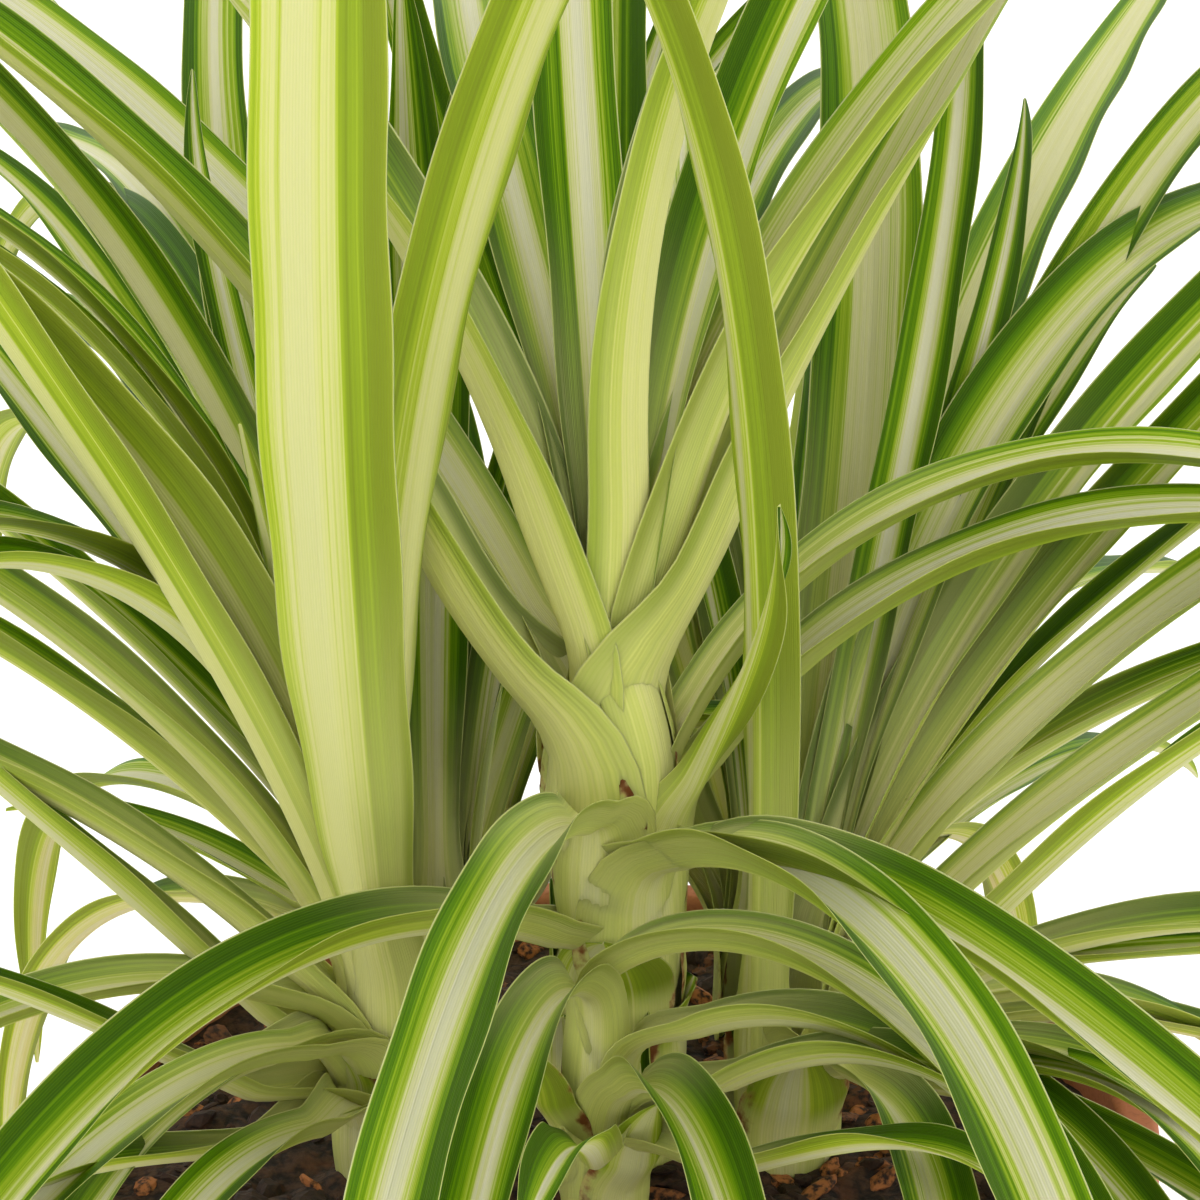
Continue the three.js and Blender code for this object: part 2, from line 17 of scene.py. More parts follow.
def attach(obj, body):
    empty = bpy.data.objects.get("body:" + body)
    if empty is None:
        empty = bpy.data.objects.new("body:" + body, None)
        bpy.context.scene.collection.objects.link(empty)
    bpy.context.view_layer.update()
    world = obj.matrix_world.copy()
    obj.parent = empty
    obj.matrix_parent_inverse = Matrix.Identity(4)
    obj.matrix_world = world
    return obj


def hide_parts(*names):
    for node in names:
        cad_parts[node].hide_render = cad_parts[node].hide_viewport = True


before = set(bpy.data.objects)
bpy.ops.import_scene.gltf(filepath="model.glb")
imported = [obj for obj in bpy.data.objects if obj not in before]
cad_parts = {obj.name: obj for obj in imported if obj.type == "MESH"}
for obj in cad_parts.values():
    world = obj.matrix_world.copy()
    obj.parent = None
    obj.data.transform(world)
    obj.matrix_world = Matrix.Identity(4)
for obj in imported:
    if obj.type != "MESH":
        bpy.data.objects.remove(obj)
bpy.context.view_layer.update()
MM = 0.001
print("packed nodes:", sorted(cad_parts))

# %% [markdown]
# ## Camera
# The photograph is a close view from a little above, so a long lens stands back from the plant and
# looks down on the middle of the crowns.

# %% Camera
VIEW_DOWN = radians(21)
VIEW_DISTANCE = 0.85
VIEW_CENTRE = Vector((0, 0, 0.285))
LENS = 133.9
SENSOR_WIDTH = 36
CLIP_START, CLIP_END = 0.05, 60


def put(name, data):
    """A new object in the scene."""
    thing = bpy.data.objects.new(name, data)
    bpy.context.scene.collection.objects.link(thing)
    return thing


def make_camera():
    camera = put("camera", bpy.data.cameras.new("camera"))
    camera.data.lens = LENS
    camera.data.sensor_width = SENSOR_WIDTH
    camera.data.clip_start = CLIP_START
    camera.data.clip_end = CLIP_END
    toward = Vector((0, cos(VIEW_DOWN), -sin(VIEW_DOWN)))
    camera.location = VIEW_CENTRE - VIEW_DISTANCE * toward
    camera.rotation_euler = (pi / 2 - VIEW_DOWN, 0, 0)
    bpy.context.scene.camera = camera
    print("camera at", tuple(round(v, 3) for v in camera.location))


make_camera()

# %% [markdown]
# ## Helpers for node trees
# Materials and Geometry Nodes trees are both made of small steps. These helpers keep a step to one
# line: they add a node, fill or link its sockets, and give back what comes out of it.


# %% Helpers for node trees
def fill(node, inputs):
    """Each input is a plain value, or the output socket of another node."""
    for key, value in inputs.items():
        if isinstance(value, bpy.types.NodeSocket):
            node.id_data.links.new(value, node.inputs[key])
        else:
            node.inputs[key].default_value = value


def add(tree, kind, inputs=None, **settings):
    node = tree.nodes.new(kind)
    for name, value in settings.items():
        setattr(node, name, value)
    fill(node, inputs or {})
    return node


def sum_of(operation, *values, kind="ShaderNodeMath"):
    """At least one of the values is a socket, and that knows its tree."""
    tree = next(value.id_data for value in values if isinstance(value, bpy.types.NodeSocket))
    return add(tree, kind, dict(enumerate(values)), operation=operation).outputs[0]


def plus(first, second):
    return sum_of("ADD", first, second)


def minus(first, second):
    return sum_of("SUBTRACT", first, second)


def times(first, second):
    return sum_of("MULTIPLY", first, second)


def vector_of(operation, *values):
    return sum_of(operation, *values, kind="ShaderNodeVectorMath")


def scaled(vector, amount):
    inputs = {0: vector, "Scale": amount}
    return add(vector.id_data, "ShaderNodeVectorMath", inputs, operation="SCALE").outputs[0]


def smooth_step(value, low, high):
    inputs = {"Value": value, "From Min": low, "From Max": high}
    settings = {"interpolation_type": "SMOOTHSTEP"}
    return add(value.id_data, "ShaderNodeMapRange", inputs, **settings).outputs[0]


def mixed(share, first, second):
    node = add(share.id_data, "ShaderNodeMix", data_type="RGBA")
    fill(node, {0: share, 6: first, 7: second})
    return node.outputs[2]


def solid_noise(tree, scale, detail):
    """Noise that is fixed to the object, so it stays where it is in every view."""
    place = add(tree, "ShaderNodeTexCoord").outputs["Object"]
    inputs = {"Vector": place, "Scale": scale, "Detail": detail}
    return add(tree, "ShaderNodeTexNoise", inputs).outputs[0]


def relief(height, strength, depth):
    inputs = {"Height": height, "Strength": strength, "Distance": depth}
    return add(height.id_data, "ShaderNodeBump", inputs).outputs[0]


def skin(shader, colour, roughness, normal):
    fill(shader, {"Base Color": colour, "Roughness": roughness, "Normal": normal})


def start_material(name):
    """A new material, its tree and the shader that the rest of the tree feeds."""
    material = bpy.data.materials.new(name)
    material.use_nodes = True
    return material, material.node_tree, material.node_tree.nodes["Principled BSDF"]


def srgb(red, green, blue):
    """A colour as an eye sees it on a screen, 0 to 255, turned into the linear value of a shader."""
    linear = []
    for value in (red, green, blue):
        share = value / 255
        linear.append(share / 12.92 if share <= 0.04045 else ((share + 0.055) / 1.055) ** 2.4)
    return (*linear, 1)


print("helpers are ready, and leaf green is", [round(v, 3) for v in srgb(102, 136, 8)])

# %% [markdown]
# ## Light and floor
# The leaves are thin and bright, and the photograph has almost no shadow. So a strong white sky
# gives most of the light, evenly from all sides. A broad lamp low in front reaches in between the
# leaves, and two weaker ones, at the upper left and behind, shape the folds a little. The floor is
# a plain pale sheet, wide enough to fill every view, and its faint glow keeps it clean under the pot.

# %% Light and floor
SKY_STRENGTH = 1.44
WHITE = (1, 1, 1, 1)
LAMPS = {
    # name: (place, side, power)
    "key lamp": ((-1.3, -1.5, 1.9), 1.6, 2.5),
    "back lamp": ((0.9, 1.9, 1.7), 1.4, 5),
    "fill lamp": ((0.5, -2.2, 0.7), 1.6, 8),
}
FLOOR_HALF_SIDE = 14
FLOOR_COLOUR = (0.94, 0.94, 0.94, 1)
FLOOR_ROUGHNESS = 0.9
FLOOR_GLOW = 0.05


def make_sky():
    world = bpy.data.worlds.new("studio")
    world.use_nodes = True
    background = world.node_tree.nodes["Background"]
    fill(background, {"Color": WHITE, "Strength": SKY_STRENGTH})
    bpy.context.scene.world = world


def make_lamp(name, place, side, power):
    lamp = bpy.data.lights.new(name, "AREA")
    lamp.size = side
    lamp.energy = power
    holder = put(name, lamp)
    holder.location = place
    holder.rotation_euler = (VIEW_CENTRE - Vector(place)).to_track_quat("-Z", "Y").to_euler()


def make_floor():
    material, _, shader = start_material("pale floor")
    fill(shader, {"Base Color": FLOOR_COLOUR, "Roughness": FLOOR_ROUGHNESS})
    fill(shader, {"Emission Color": WHITE, "Emission Strength": FLOOR_GLOW})
    side = FLOOR_HALF_SIDE
    mesh = bpy.data.meshes.new("floor")
    corners = [(-side, -side, 0), (side, -side, 0), (side, side, 0), (-side, side, 0)]
    mesh.from_pydata(corners, [], [(0, 1, 2, 3)])
    mesh.materials.append(material)
    floor = put("floor", mesh)


make_sky()
for lamp_name, lamp_plan in LAMPS.items():
    make_lamp(lamp_name, *lamp_plan)
make_floor()
bpy.context.scene.view_settings.view_transform = "Standard"
print("lamps:", ", ".join(LAMPS))

# %% [markdown]
# ## The leaf material
# A leaf is cream along its middle, lime beside it and green at its margins, with a thin pale line at
# the very edge. The stripes run the whole length and hardly wander. They are drawn from two values
# that every blade carries: how far across it a point lies, from -1 to 1, and how far along. Noise
# that is stretched along the blade makes the fine stripes, so no two leaves are alike. The foot of a
# leaf is pale, because it grew inside the crown, and it is painted brighter still, as painted light
# against the shade in the crown. The creams out on the blade are painted a little darker, as painted
# shade against the full sky. The lower face is duller than the upper one, and its yellow-green is
# partly painted light, for the light that comes through the blades into their shade.

# %% Stripes of a leaf
STRIPES = [
    # the creams of the first stops are painted a little darker than the leaf's own, as painted shade
    # against the full sky on the exposed blade
    (0.0, srgb(202, 199, 174)),
    (0.22, srgb(196, 194, 146)),
    (0.34, srgb(171, 181, 94)),
    (0.46, srgb(140, 161, 34)),
    (0.62, srgb(102, 136, 8)),
    (0.8, srgb(68, 107, 1)),
    (1.0, srgb(47, 80, 2)),
]
# painted a little darker than the leaf's own cream, as painted shade against the full sky on the exposed
# blade
PALE_MIDDLE = srgb(193, 190, 138)
LEAVES_APART = 37.0  # in the noise, so that no leaf repeats its neighbour
# each pair says how fine a noise is across the blade and how quickly it changes along it
SWAY, SWAY_STRENGTH = (0.0, 9.0), 0.2
STREAKS, STREAK_STRENGTH = (7.0, 1.4), 1.15
THREADS, THREAD_STRENGTH = (30.0, 2.5), 0.55
PLEATS, PLEAT_STRENGTH = (8.0, 0.5), 3.0
GREEN_SPREAD, GREEN_HELD_BACK = 1.22, 0.32
PALE_POWER = 0.6


def leaf_value(tree, name):
    return add(tree, "ShaderNodeAttribute", attribute_name=name).outputs["Fac"]


def stripe_noise(look, fineness, wander):
    inputs = {
        0: times(look.across, fineness),
        1: times(look.along, wander),
        2: times(look.leaf, LEAVES_APART),
    }
    place = add(look.leaf.id_data, "ShaderNodeCombineXYZ", inputs).outputs[0]
    inputs = {"Vector": place, "Scale": 1.0, "Detail": 2.0, "Roughness": 0.6}
    return add(place.id_data, "ShaderNodeTexNoise", inputs).outputs[0]


def centred(value, amount):
    return times(minus(value, 0.5), amount)


def ramp(value, stops):
    node = add(value.id_data, "ShaderNodeValToRGB", {0: value})
    elements = node.color_ramp.elements
    while len(elements) < len(stops):
        elements.new(0.5)
    for element, (position, colour) in zip(elements, stops):
        element.position = position
        element.color = colour
    return node.outputs[0]


def leaf_stripes(look):
    # the two halves of a blade are never quite alike
    slow = centred(stripe_noise(look, *SWAY), SWAY_STRENGTH)
    lean = plus(look.shift, slow)
    outward = sum_of("ABSOLUTE", plus(look.across, lean))
    # a pale leaf keeps its green near the margins, a strongly striped one has it further in
    pale = minus(1.0, look.tone)
    power = plus(1.0, times(pale, PALE_POWER))
    stretch = minus(GREEN_SPREAD, times(pale, GREEN_HELD_BACK))
    band = times(sum_of("POWER", outward, power), stretch)
    band = plus(band, centred(stripe_noise(look, *STREAKS), STREAK_STRENGTH))
    band = plus(band, centred(look.threads, THREAD_STRENGTH))
    middle = minus(1.0, smooth_step(band, 0.2, 0.45))
    tint = times(middle, sum_of("MINIMUM", times(pale, 1.2), 1.0))
    return mixed(tint, ramp(band, STRIPES), PALE_MIDDLE)


# %% Foot, edge, veins and dry parts of a leaf
# the foot's own pale cream, painted brighter as painted light against the shade inside the crown
PALE_FOOT_AND_PAINTED_LIGHT = srgb(234, 229, 158)
FOOT_PALENESS = 0.56
EDGE_LINE, EDGE_STRENGTH = srgb(196, 197, 124), 0.6
# the lower face's duller colour, whose saturated yellow-green is partly painted light: the light that comes
# through the blades into their shade
UNDERSIDE_AND_PAINTED_LIGHT, UNDERSIDE_AND_PAINTED_LIGHT_SHARE = srgb(192, 198, 66), 0.3
VEIN_GREEN, VEIN_STRENGTH = srgb(132, 164, 18), 0.1
VEINS_ACROSS = 46
VEIN_DEPTH, RIDGE_WEIGHT = 0.25 * MM, 0.1
ROUGHNESS, ROUGHER = 0.4, 0.12  # and rougher below, and along the fine threads
DRY_LIGHT = srgb(196, 160, 110)
DRY_DARK = srgb(112, 66, 34)


def leaf_foot(look, colour):
    """The foot grew inside the crown and is pale, and its colour is painted brighter, as painted light
    against the shade there; its margins turn green first.
    """
    near_margin = smooth_step(look.margin, 0.66, 0.92)
    early = times(near_margin, smooth_step(look.along, 0.005, 0.05))
    grown = sum_of("MAXIMUM", look.grown, times(early, 0.75))
    grown = plus(times(grown, FOOT_PALENESS), 1 - FOOT_PALENESS)
    return mixed(grown, PALE_FOOT_AND_PAINTED_LIGHT, colour)


def leaf_surface(look, colour):
    """The pale edge, the duller lower face, whose yellow-green is partly painted light for the light that
    comes through the blades into their shade, and a fine line of green along each vein.
    """
    edge = times(smooth_step(look.margin, 0.965, 0.985), EDGE_STRENGTH)
    colour = mixed(edge, colour, EDGE_LINE)
    # the lower face is duller, and its yellow-green is also painted light, for light that shines through
    # the blades into their shade
    colour = mixed(times(look.under, UNDERSIDE_AND_PAINTED_LIGHT_SHARE), colour, UNDERSIDE_AND_PAINTED_LIGHT)
    vein = times(smooth_step(look.ridge, 0.0, 1.0), VEIN_STRENGTH)
    return mixed(vein, colour, VEIN_GREEN)


def leaf_paper(tree, look, colour):
    """Dropped leaves leave papery feet, and the feet of living leaves have brown scars."""
    blotch = solid_noise(tree, 240.0, 4.0)
    paper = mixed(smooth_step(blotch, 0.35, 0.65), DRY_LIGHT, DRY_DARK)
    rim = smooth_step(look.margin, 0.5, 1.0)
    dry_rim = minus(times(look.dry, rim), 0.1)
    worn = plus(centred(blotch, 1.6), dry_rim)
    return mixed(smooth_step(worn, 0.35, 0.7), colour, paper)


def paint_leaf():
    material, tree, shader = start_material("striped leaf")
    carried = ("across", "along", "leaf", "under", "tone", "dry", "grown", "shift")
    look = SimpleNamespace(**{name: leaf_value(tree, name) for name in carried})
    look.margin = sum_of("ABSOLUTE", look.across)
    look.ridge = sum_of("SINE", times(look.across, VEINS_ACROSS * pi))
    look.threads = stripe_noise(look, *THREADS)

    colour = leaf_stripes(look)
    colour = leaf_foot(look, colour)
    colour = leaf_surface(look, colour)
    colour = leaf_paper(tree, look, colour)
    pleats = times(stripe_noise(look, *PLEATS), PLEAT_STRENGTH)
    height = plus(times(look.ridge, RIDGE_WEIGHT), pleats)
    rough = plus(ROUGHNESS, times(look.under, ROUGHER))
    rough = plus(rough, times(look.threads, ROUGHER))
    skin(shader, colour, rough, relief(height, 0.5, VEIN_DEPTH))
    # a little light goes through the thin blade, and less of its blue
    fill(shader, {"Subsurface Weight": 0.35, "Subsurface Scale": 1.2 * MM})
    fill(shader, {"Subsurface Radius": (1.0, 1.0, 0.6), "Specular IOR Level": 0.06})
    return material


leaf_material = paint_leaf()
print("leaf material:", len(leaf_material.node_tree.nodes), "nodes")

# %% [markdown]
# ## Where the leaves grow
# Each crown has its own list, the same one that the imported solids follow. A leaf leaves its stem at
# a heading, stands at three lean angles from root to tip, and may sweep round. The other values say
# how its foot clasps the stem and how it is striped. Most leaves share the usual ones.

# %% A leaf's values and a crown's
SOIL_MIDDLE = 170
BROAD_SHEATH = 1.0  # a leaf with a wider root than this has a broad sheath
USUAL = {
    "reach": 6,  # from the stem's axis to the root
    "sheath": 0.6,  # the width of the root, as a share of the leaf's
    "roll": (0, 0),  # how far it turns about its own fold, at root and tip
    "open": 30,  # how steeply each half is folded up at the tip
    "shut": 68,  # and at the root, in a young leaf
    "clasp": None,  # the radius of the sheath; None takes it from the stem
    "hug": 1.15,  # half the sheath's width, in such radii
    "behind": 0,  # how far back the fold of a young leaf is set
    "tone": 0.9,  # from a pale leaf, 0, to a strongly striped one, 1
    "shift": None,  # how far off the middle its stripes lie; None leaves it to chance
    "dry": 0,  # how brown its margins are
    "scar": 0.75,  # and how brown its foot is
}


def leaf(heading, lean, pace, sweep, rise, length, width, **more):
    """Angles in degrees, lengths in millimetres. The lean is given at the root, between and at the
    tip, and a pace over 1 holds the bend back. More takes the place of usual values."""
    plan = SimpleNamespace(heading=heading, lean=lean, pace=pace, sweep=sweep)
    plan.rise, plan.length, plan.width = rise, length, width
    vars(plan).update({**USUAL, **more})
    return plan


def young_leaf(heading, *sizes, **more):
    """A broad leaf of the V. Its foot clasps the stem squarely from the right or the left."""
    roll = heading if heading < 90 else heading - 180
    return leaf(heading, *sizes, sheath=1.25, roll=(roll, 0), **more)


def crown(axis, stem_radius, stem_height, leaves, slimmer=1.0):
    """A crown that stands close to its neighbours has a slimmer stem and slimmer sheaths."""
    plan = SimpleNamespace(axis=axis, stem_radius=stem_radius, stem_height=stem_height)
    plan.leaves, plan.slimmer = leaves, slimmer
    return plan


# %% Leaves of the middle crown
CENTRE_LEAVES = [
    young_leaf(158, (-12, 84, 65), 0.8, -60, 76, 400, 24, tone=0.3, shut=74, clasp=11.2, hug=1.5),
    young_leaf(36, (-12, 77, 78), 0.6, 60, 76, 400, 24, tone=0.35, shut=64, behind=-3, clasp=12.2, hug=2.9),
    young_leaf(170, (22, 51, 101), 1.1, 4, 70, 370, 24, tone=0.3, shut=60, behind=-4, clasp=13.2, hug=2.0),
    young_leaf(26, (-12, 93, 83), 0.9, 49, 80, 380, 22, tone=0.4, shut=80, behind=3, clasp=10, hug=1.5),
    young_leaf(-5, (-12, 40, 69), 1.1, -2, 80, 400, 23, tone=0.35, shut=85, behind=6, clasp=10.2, hug=1.5),
    leaf(134, (30, 68, 95), 0.7, -12, 80, 360, 19, tone=1),
    leaf(104, (3, 56, 109), 1, -26, 80, 380, 20),
    leaf(120, (-12, 88, 131), 0.8, -52, 80, 380, 20, tone=0.8),
    leaf(91, (10, 57, 108), 1, -4, 80, 330, 16, tone=1),
    leaf(57, (0, 58, 114), 1, -4, 80, 390, 20),
    leaf(77, (29, 89, 128), 1, -7, 80, 340, 16, tone=1),
    leaf(20, (11, 133, 174), 1.1, -44, 59, 330, 18, tone=0.8),
    leaf(15, (22, 112, 160), 1.1, -50, 52, 320, 20, tone=1),
    leaf(-34, (22, 33, 38), 1, -60, 52, 120, 13, tone=1, roll=(0, 130), open=50),
    leaf(-103, (29, 92, 127), 0.5, 8, 59, 360, 23, reach=2, open=46),
    leaf(-60, (41, 98, 130), 0.7, -32, 48, 360, 24, reach=-4, open=46),
    leaf(-62, (5, 109, 119), 0.5, 19, 46, 380, 22, tone=1, open=46),
    leaf(-133, (47, 119, 137), 1, 29, 30, 370, 22, reach=-6, tone=1, open=46),
]
print("leaves:", len(CENTRE_LEAVES))

# %% Leaves of the left crown
LEFT_LEAVES = [
    leaf(-100, (27, 19, 33), 1.1, 31, 28, 430, 28, tone=0.5, shift=-0.3),
    leaf(-41, (-9, 22, 74), 0.9, -26, 30, 420, 23, tone=0.5),
    leaf(224, (5, 43, 76), 0.9, -7, 21, 400, 27, tone=0.35),
    leaf(225, (2, 37, 39), 0.5, 16, 21, 380, 18, tone=0.35),
    leaf(157, (1, 50, 114), 1.2, 6, 21, 400, 20, tone=0.4),
    leaf(108, (36, 126, 88), 1.7, 2, 24, 400, 18),
    leaf(111, (30, 108, 138), 1.5, 1, 24, 380, 17),
    leaf(120, (-5, 55, 72), 0.5, -44, 21, 400, 17, tone=0.8),
    leaf(101, (46, 99, 77), 1.1, 9, 24, 420, 22, tone=0.4),
    leaf(152, (-1, 27, 65), 1, -60, 21, 215, 11, tone=1),
    leaf(225, (-3, 26, 21), 0.8, 29, 24, 150, 9, tone=1),
    leaf(178, (3, 91, 152), 1.8, 28, 21, 380, 15),
    leaf(186, (5, 79, 150), 1.8, 28, 21, 360, 14),
    leaf(201, (5, 124, 168), 1.6, 54, 24, 330, 16),
    leaf(208, (9, 120, 167), 1.6, 60, 24, 330, 17, tone=0.8),
    leaf(188, (3, 52, 92), 0.6, -7, 21, 370, 21, tone=0.5),
    leaf(200, (12, 57, 85), 0.5, -8, 16, 350, 20, tone=0.6),
    leaf(201, (-9, 110, 167), 0.5, 14, 15, 300, 18, tone=1),
    leaf(223, (10, 114, 166), 0.5, 47, 16, 240, 15),
    leaf(236, (9, 98, 140), 0.5, 2, 13, 260, 16),
    leaf(214, (71, 32, 79), 0.6, 0, 6, 190, 15, tone=1),
    leaf(228, (82, 50, 95), 0.6, 29, 6, 200, 15),
    leaf(247, (55, 89, 117), 1, 12, 6, 180, 16),
    leaf(129, (26, 5, 92), 0.7, 0, 24, 237, 16),
    leaf(-171, (39, 43, 44), 0.9, 42, 8, 238, 18),
]
print("leaves:", len(LEFT_LEAVES))

# %% Leaves of the right crown
RIGHT_LEAVES = [
    leaf(238, (0, -5, 84), 1, -39, 14, 400, 18, reach=11, tone=1, shift=-0.35, hug=0.8),
    leaf(70, (-3, 52, 72), 0.5, 40, 12, 430, 26, tone=0.4),
    leaf(83, (28, 73, 100), 0.8, 3, 12, 380, 16, tone=0.8),
    leaf(52, (4, 38, 70), 0.8, 44, 12, 300, 14),
    leaf(44, (4, 45, 73), 0.9, 42, 13, 235, 12, tone=1),
    leaf(72, (35, 96, 78), 1.2, -1, 13, 420, 23, tone=0.4),
    leaf(51, (10, 105, 158), 1.4, 1, 13, 380, 23, tone=0.7),
    leaf(57, (25, 58, 116), 1.1, -5, 13, 400, 19, tone=0.6),
    leaf(31, (5, 58, 89), 0.7, 13, 22, 380, 22, tone=0.5),
    leaf(21, (-9, 54, 77), 0.5, 30, 15, 370, 20, tone=0.5),
    leaf(15, (-2, 56, 97), 0.5, 8, 13, 370, 20, tone=0.6),
    leaf(12, (17, 63, 86), 0.5, 6, 11, 360, 19, tone=0.7),
    leaf(-13, (37, 115, 146), 1, -18, 9, 320, 18),
    leaf(23, (44, 117, 142), 0.5, -5, 8, 280, 16, tone=1),
    leaf(18, (50, 157, 178), 0.9, 23, 10, 240, 15),
    leaf(-35, (40, 111, 145), 1, -51, 6, 240, 15),
    leaf(-36, (54, 87, 125), 1.4, -45, 6, 170, 14),
    leaf(-38, (39, 29, 106), 1, 6, 7, 301, 17),
    leaf(-37, (26, 110, 85), 0.6, -28, 5, 165, 17),
    leaf(-67, (59, 113, 104), 1.2, -40, 16, 201, 18),
    leaf(-43, (28, 126, 102), 0.9, -30, 9, 158, 16),
    leaf(-16, (38, 110, 74), 0.9, 25, 18, 157, 15),
]
print("leaves:", len(RIGHT_LEAVES))

# %% Leaves of the low rosette in front
FRONT_LEAVES = [
    leaf(-29, (-12, 109, 173), 0.6, -46, 26, 250, 19, reach=-8, tone=0.8, open=46),
    leaf(-25, (41, 137, 166), 1.2, -60, 20, 220, 17, reach=-3, open=46),
    leaf(-30, (44, 128, 158), 1.5, -60, 11, 220, 16, open=46),
    leaf(-105, (-12, 115, 163), 0.6, 7, 24, 240, 21, reach=-4, tone=1, open=46),
    leaf(-75, (-8, 78, 128), 0.5, -11, 8, 220, 21, tone=1, open=46),
    leaf(-91, (55, 53, 91), 1.2, -8, 6, 160, 17, tone=1),
    leaf(-45, (78, 32, 96), 0.7, -34, 6, 170, 14, tone=1),
]
print("leaves:", len(FRONT_LEAVES))

# %% Leaves of the crown at the back right
BACK_RIGHT_LEAVES = [
    leaf(62, (49, 125, 108), 1.1, 0, 8, 330, 18),
    leaf(55, (74, 98, 124), 0.9, 13, 8, 250, 16),
    leaf(48, (7, 136, 178), 0.6, 37, 8, 220, 16),
    leaf(106, (7, 86, 112), 0.9, -30, 8, 400, 20, tone=1),
    leaf(134, (3, 8, 40), 1, 0, 8, 150, 15, tone=1),
    leaf(75, (20, 100, 150), 1, 25, 8, 340, 19, tone=0.7),
    leaf(108, (16, 90, 140), 1.2, -10, 8, 360, 20, tone=0.6),
    leaf(45, (25, 57, 82), 1.4, 16, 9, 198, 18),
    leaf(112, (31, 50, 46), 0.7, 5, 9, 265, 17, tone=1),
    leaf(135, (27, 50, 19), 0.8, -20, 8, 283, 18),
    leaf(14, (23, 55, 52), 1.1, -33, 5, 218, 15),
    leaf(9, (23, 52, 113), 0.6, -42, 6, 295, 19),
    leaf(143, (35, 36, 82), 0.7, -25, 7, 194, 20, tone=0.8),
]
print("leaves:", len(BACK_RIGHT_LEAVES))

# %% Leaves of the crown at the back left
BACK_LEFT_LEAVES = [
    leaf(135, (18, 96, 172), 0.9, -39, 8, 380, 18),
    leaf(145, (46, 134, 167), 1, -50, 8, 250, 16),
    leaf(141, (69, 83, 111), 1, -4, 8, 130, 14),
    leaf(146, (67, 146, 162), 1, -38, 8, 230, 16),
    leaf(118, (34, 90, 124), 0.9, -9, 8, 400, 18, tone=0.7),
    leaf(85, (-2, 8, 30), 1, 0, 8, 190, 18, tone=0.8),
    leaf(20, (4, 10, 45), 0.9, 50, 8, 225, 16, tone=1),
    leaf(100, (24, 104, 150), 1, -20, 8, 330, 19, tone=0.6),
    leaf(64, (39, 35, 113), 0.7, 22, 5, 162, 15, tone=1),
    leaf(65, (6, 28, 61), 1.2, -47, 8, 267, 15, tone=1),
    leaf(66, (2, 18, 84), 0.9, 48, 8, 166, 16, tone=1),
    leaf(176, (19, 51, 48), 0.8, 10, 7, 208, 23),
    leaf(-172, (39, 44, 119), 1.2, 42, 8, 289, 21),
    leaf(147, (24, 51, 84), 0.6, -35, 8, 259, 16),
    leaf(72, (38, 46, 65), 0.7, -19, 9, 200, 16),
    leaf(89, (4, 21, 8), 0.5, 20, 11, 211, 23),
    leaf(-10, (32, 7, 114), 1.4, -25, 6, 112, 23, tone=0.8),
]
print("leaves:", len(BACK_LEFT_LEAVES))

# %% All crowns
CROWNS = {
    "crown_centre": crown((3, 0), 12, 84, CENTRE_LEAVES),
    "crown_left": crown((-40, -8), 11, 34, LEFT_LEAVES),
    "crown_right": crown((36, 0), 13, 28, RIGHT_LEAVES, slimmer=0.8),
    "crown_front": crown((0, -26), 12, 34, FRONT_LEAVES, slimmer=0.66),
    "crown_back_right": crown((36, 48), 11, 16, BACK_RIGHT_LEAVES),
    "crown_back_left": crown((-34, 46), 11, 16, BACK_LEFT_LEAVES),
}
print("leaves in all:", sum(len(plan.leaves) for plan in CROWNS.values()))

# %% [markdown]
# ## From a plan to a path
# The fold of a leaf is a line of short steps. At each step the lean and the heading are worked out
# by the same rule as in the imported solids, so the fine leaf lies over its faceted one. Near its root
# the fine line is drawn out to the stem's skin and runs a little way down it, because the foot of a
# real leaf is a sheath that clasps the stem. Every point also stores which way the blade's side and
# upper face look there, and how wide, folded, thick and wrapped round the stem the blade is.

# %% The line of a leaf's fold
LEAF_STEPS = 80
FOOT_STEPS = 10
FOOT_DEPTH = 16
FOOT_TUCK = 2.5
LONGEST_BLEND, BLEND_SHARE = 34, 0.4


def smooth_share(value, low, high):
    share = min(max((value - low) / (high - low), 0), 1)
    return share * share * (3 - 2 * share)


def fold_line(axis, plan):
    start = radians(plan.heading)
    x = axis[0] + plan.reach * cos(start)
    y = axis[1] + plan.reach * sin(start)
    place = Vector((x, y, SOIL_MIDDLE + plan.rise))
    points = [place.copy()]
    at_root, pull, at_tip = plan.lean
    for step in range(LEAF_STEPS):
        along = (step + 0.5) / LEAF_STEPS
        blend = along ** plan.pace
        lean = at_root * (1 - blend) ** 2 + 2 * pull * blend * (1 - blend) + at_tip * blend**2
        lean = radians(lean)
        heading = radians(plan.heading + plan.sweep * along)
        out = sin(lean)
        direction = Vector((out * cos(heading), out * sin(heading), cos(lean)))
        place = place + direction * plan.length / LEAF_STEPS
        points.append(place.copy())
    return points


def clasped_line(axis, plan, clasp):
    """The fold line with its foot: a list of (distance from the root, place)."""
    start = radians(plan.heading)
    outward = Vector((cos(start), sin(start), 0))
    foot = Vector((axis[0], axis[1], SOIL_MIDDLE + plan.rise))
    line = []
    for step in range(FOOT_STEPS, 0, -1):
        down = FOOT_DEPTH * step / FOOT_STEPS
        tuck = FOOT_TUCK * (step / FOOT_STEPS) ** 2
        line.append((-down, foot + outward * (clasp - tuck) - Vector((0, 0, down))))
    blend_length = min(LONGEST_BLEND, BLEND_SHARE * plan.length)
    for step, point in enumerate(fold_line(axis, plan)):
        distance = plan.length * step / LEAF_STEPS
        on_stem = foot + outward * clasp + Vector((0, 0, distance))
        line.append((distance, on_stem.lerp(point, smooth_share(distance, 0, blend_length))))
    return line


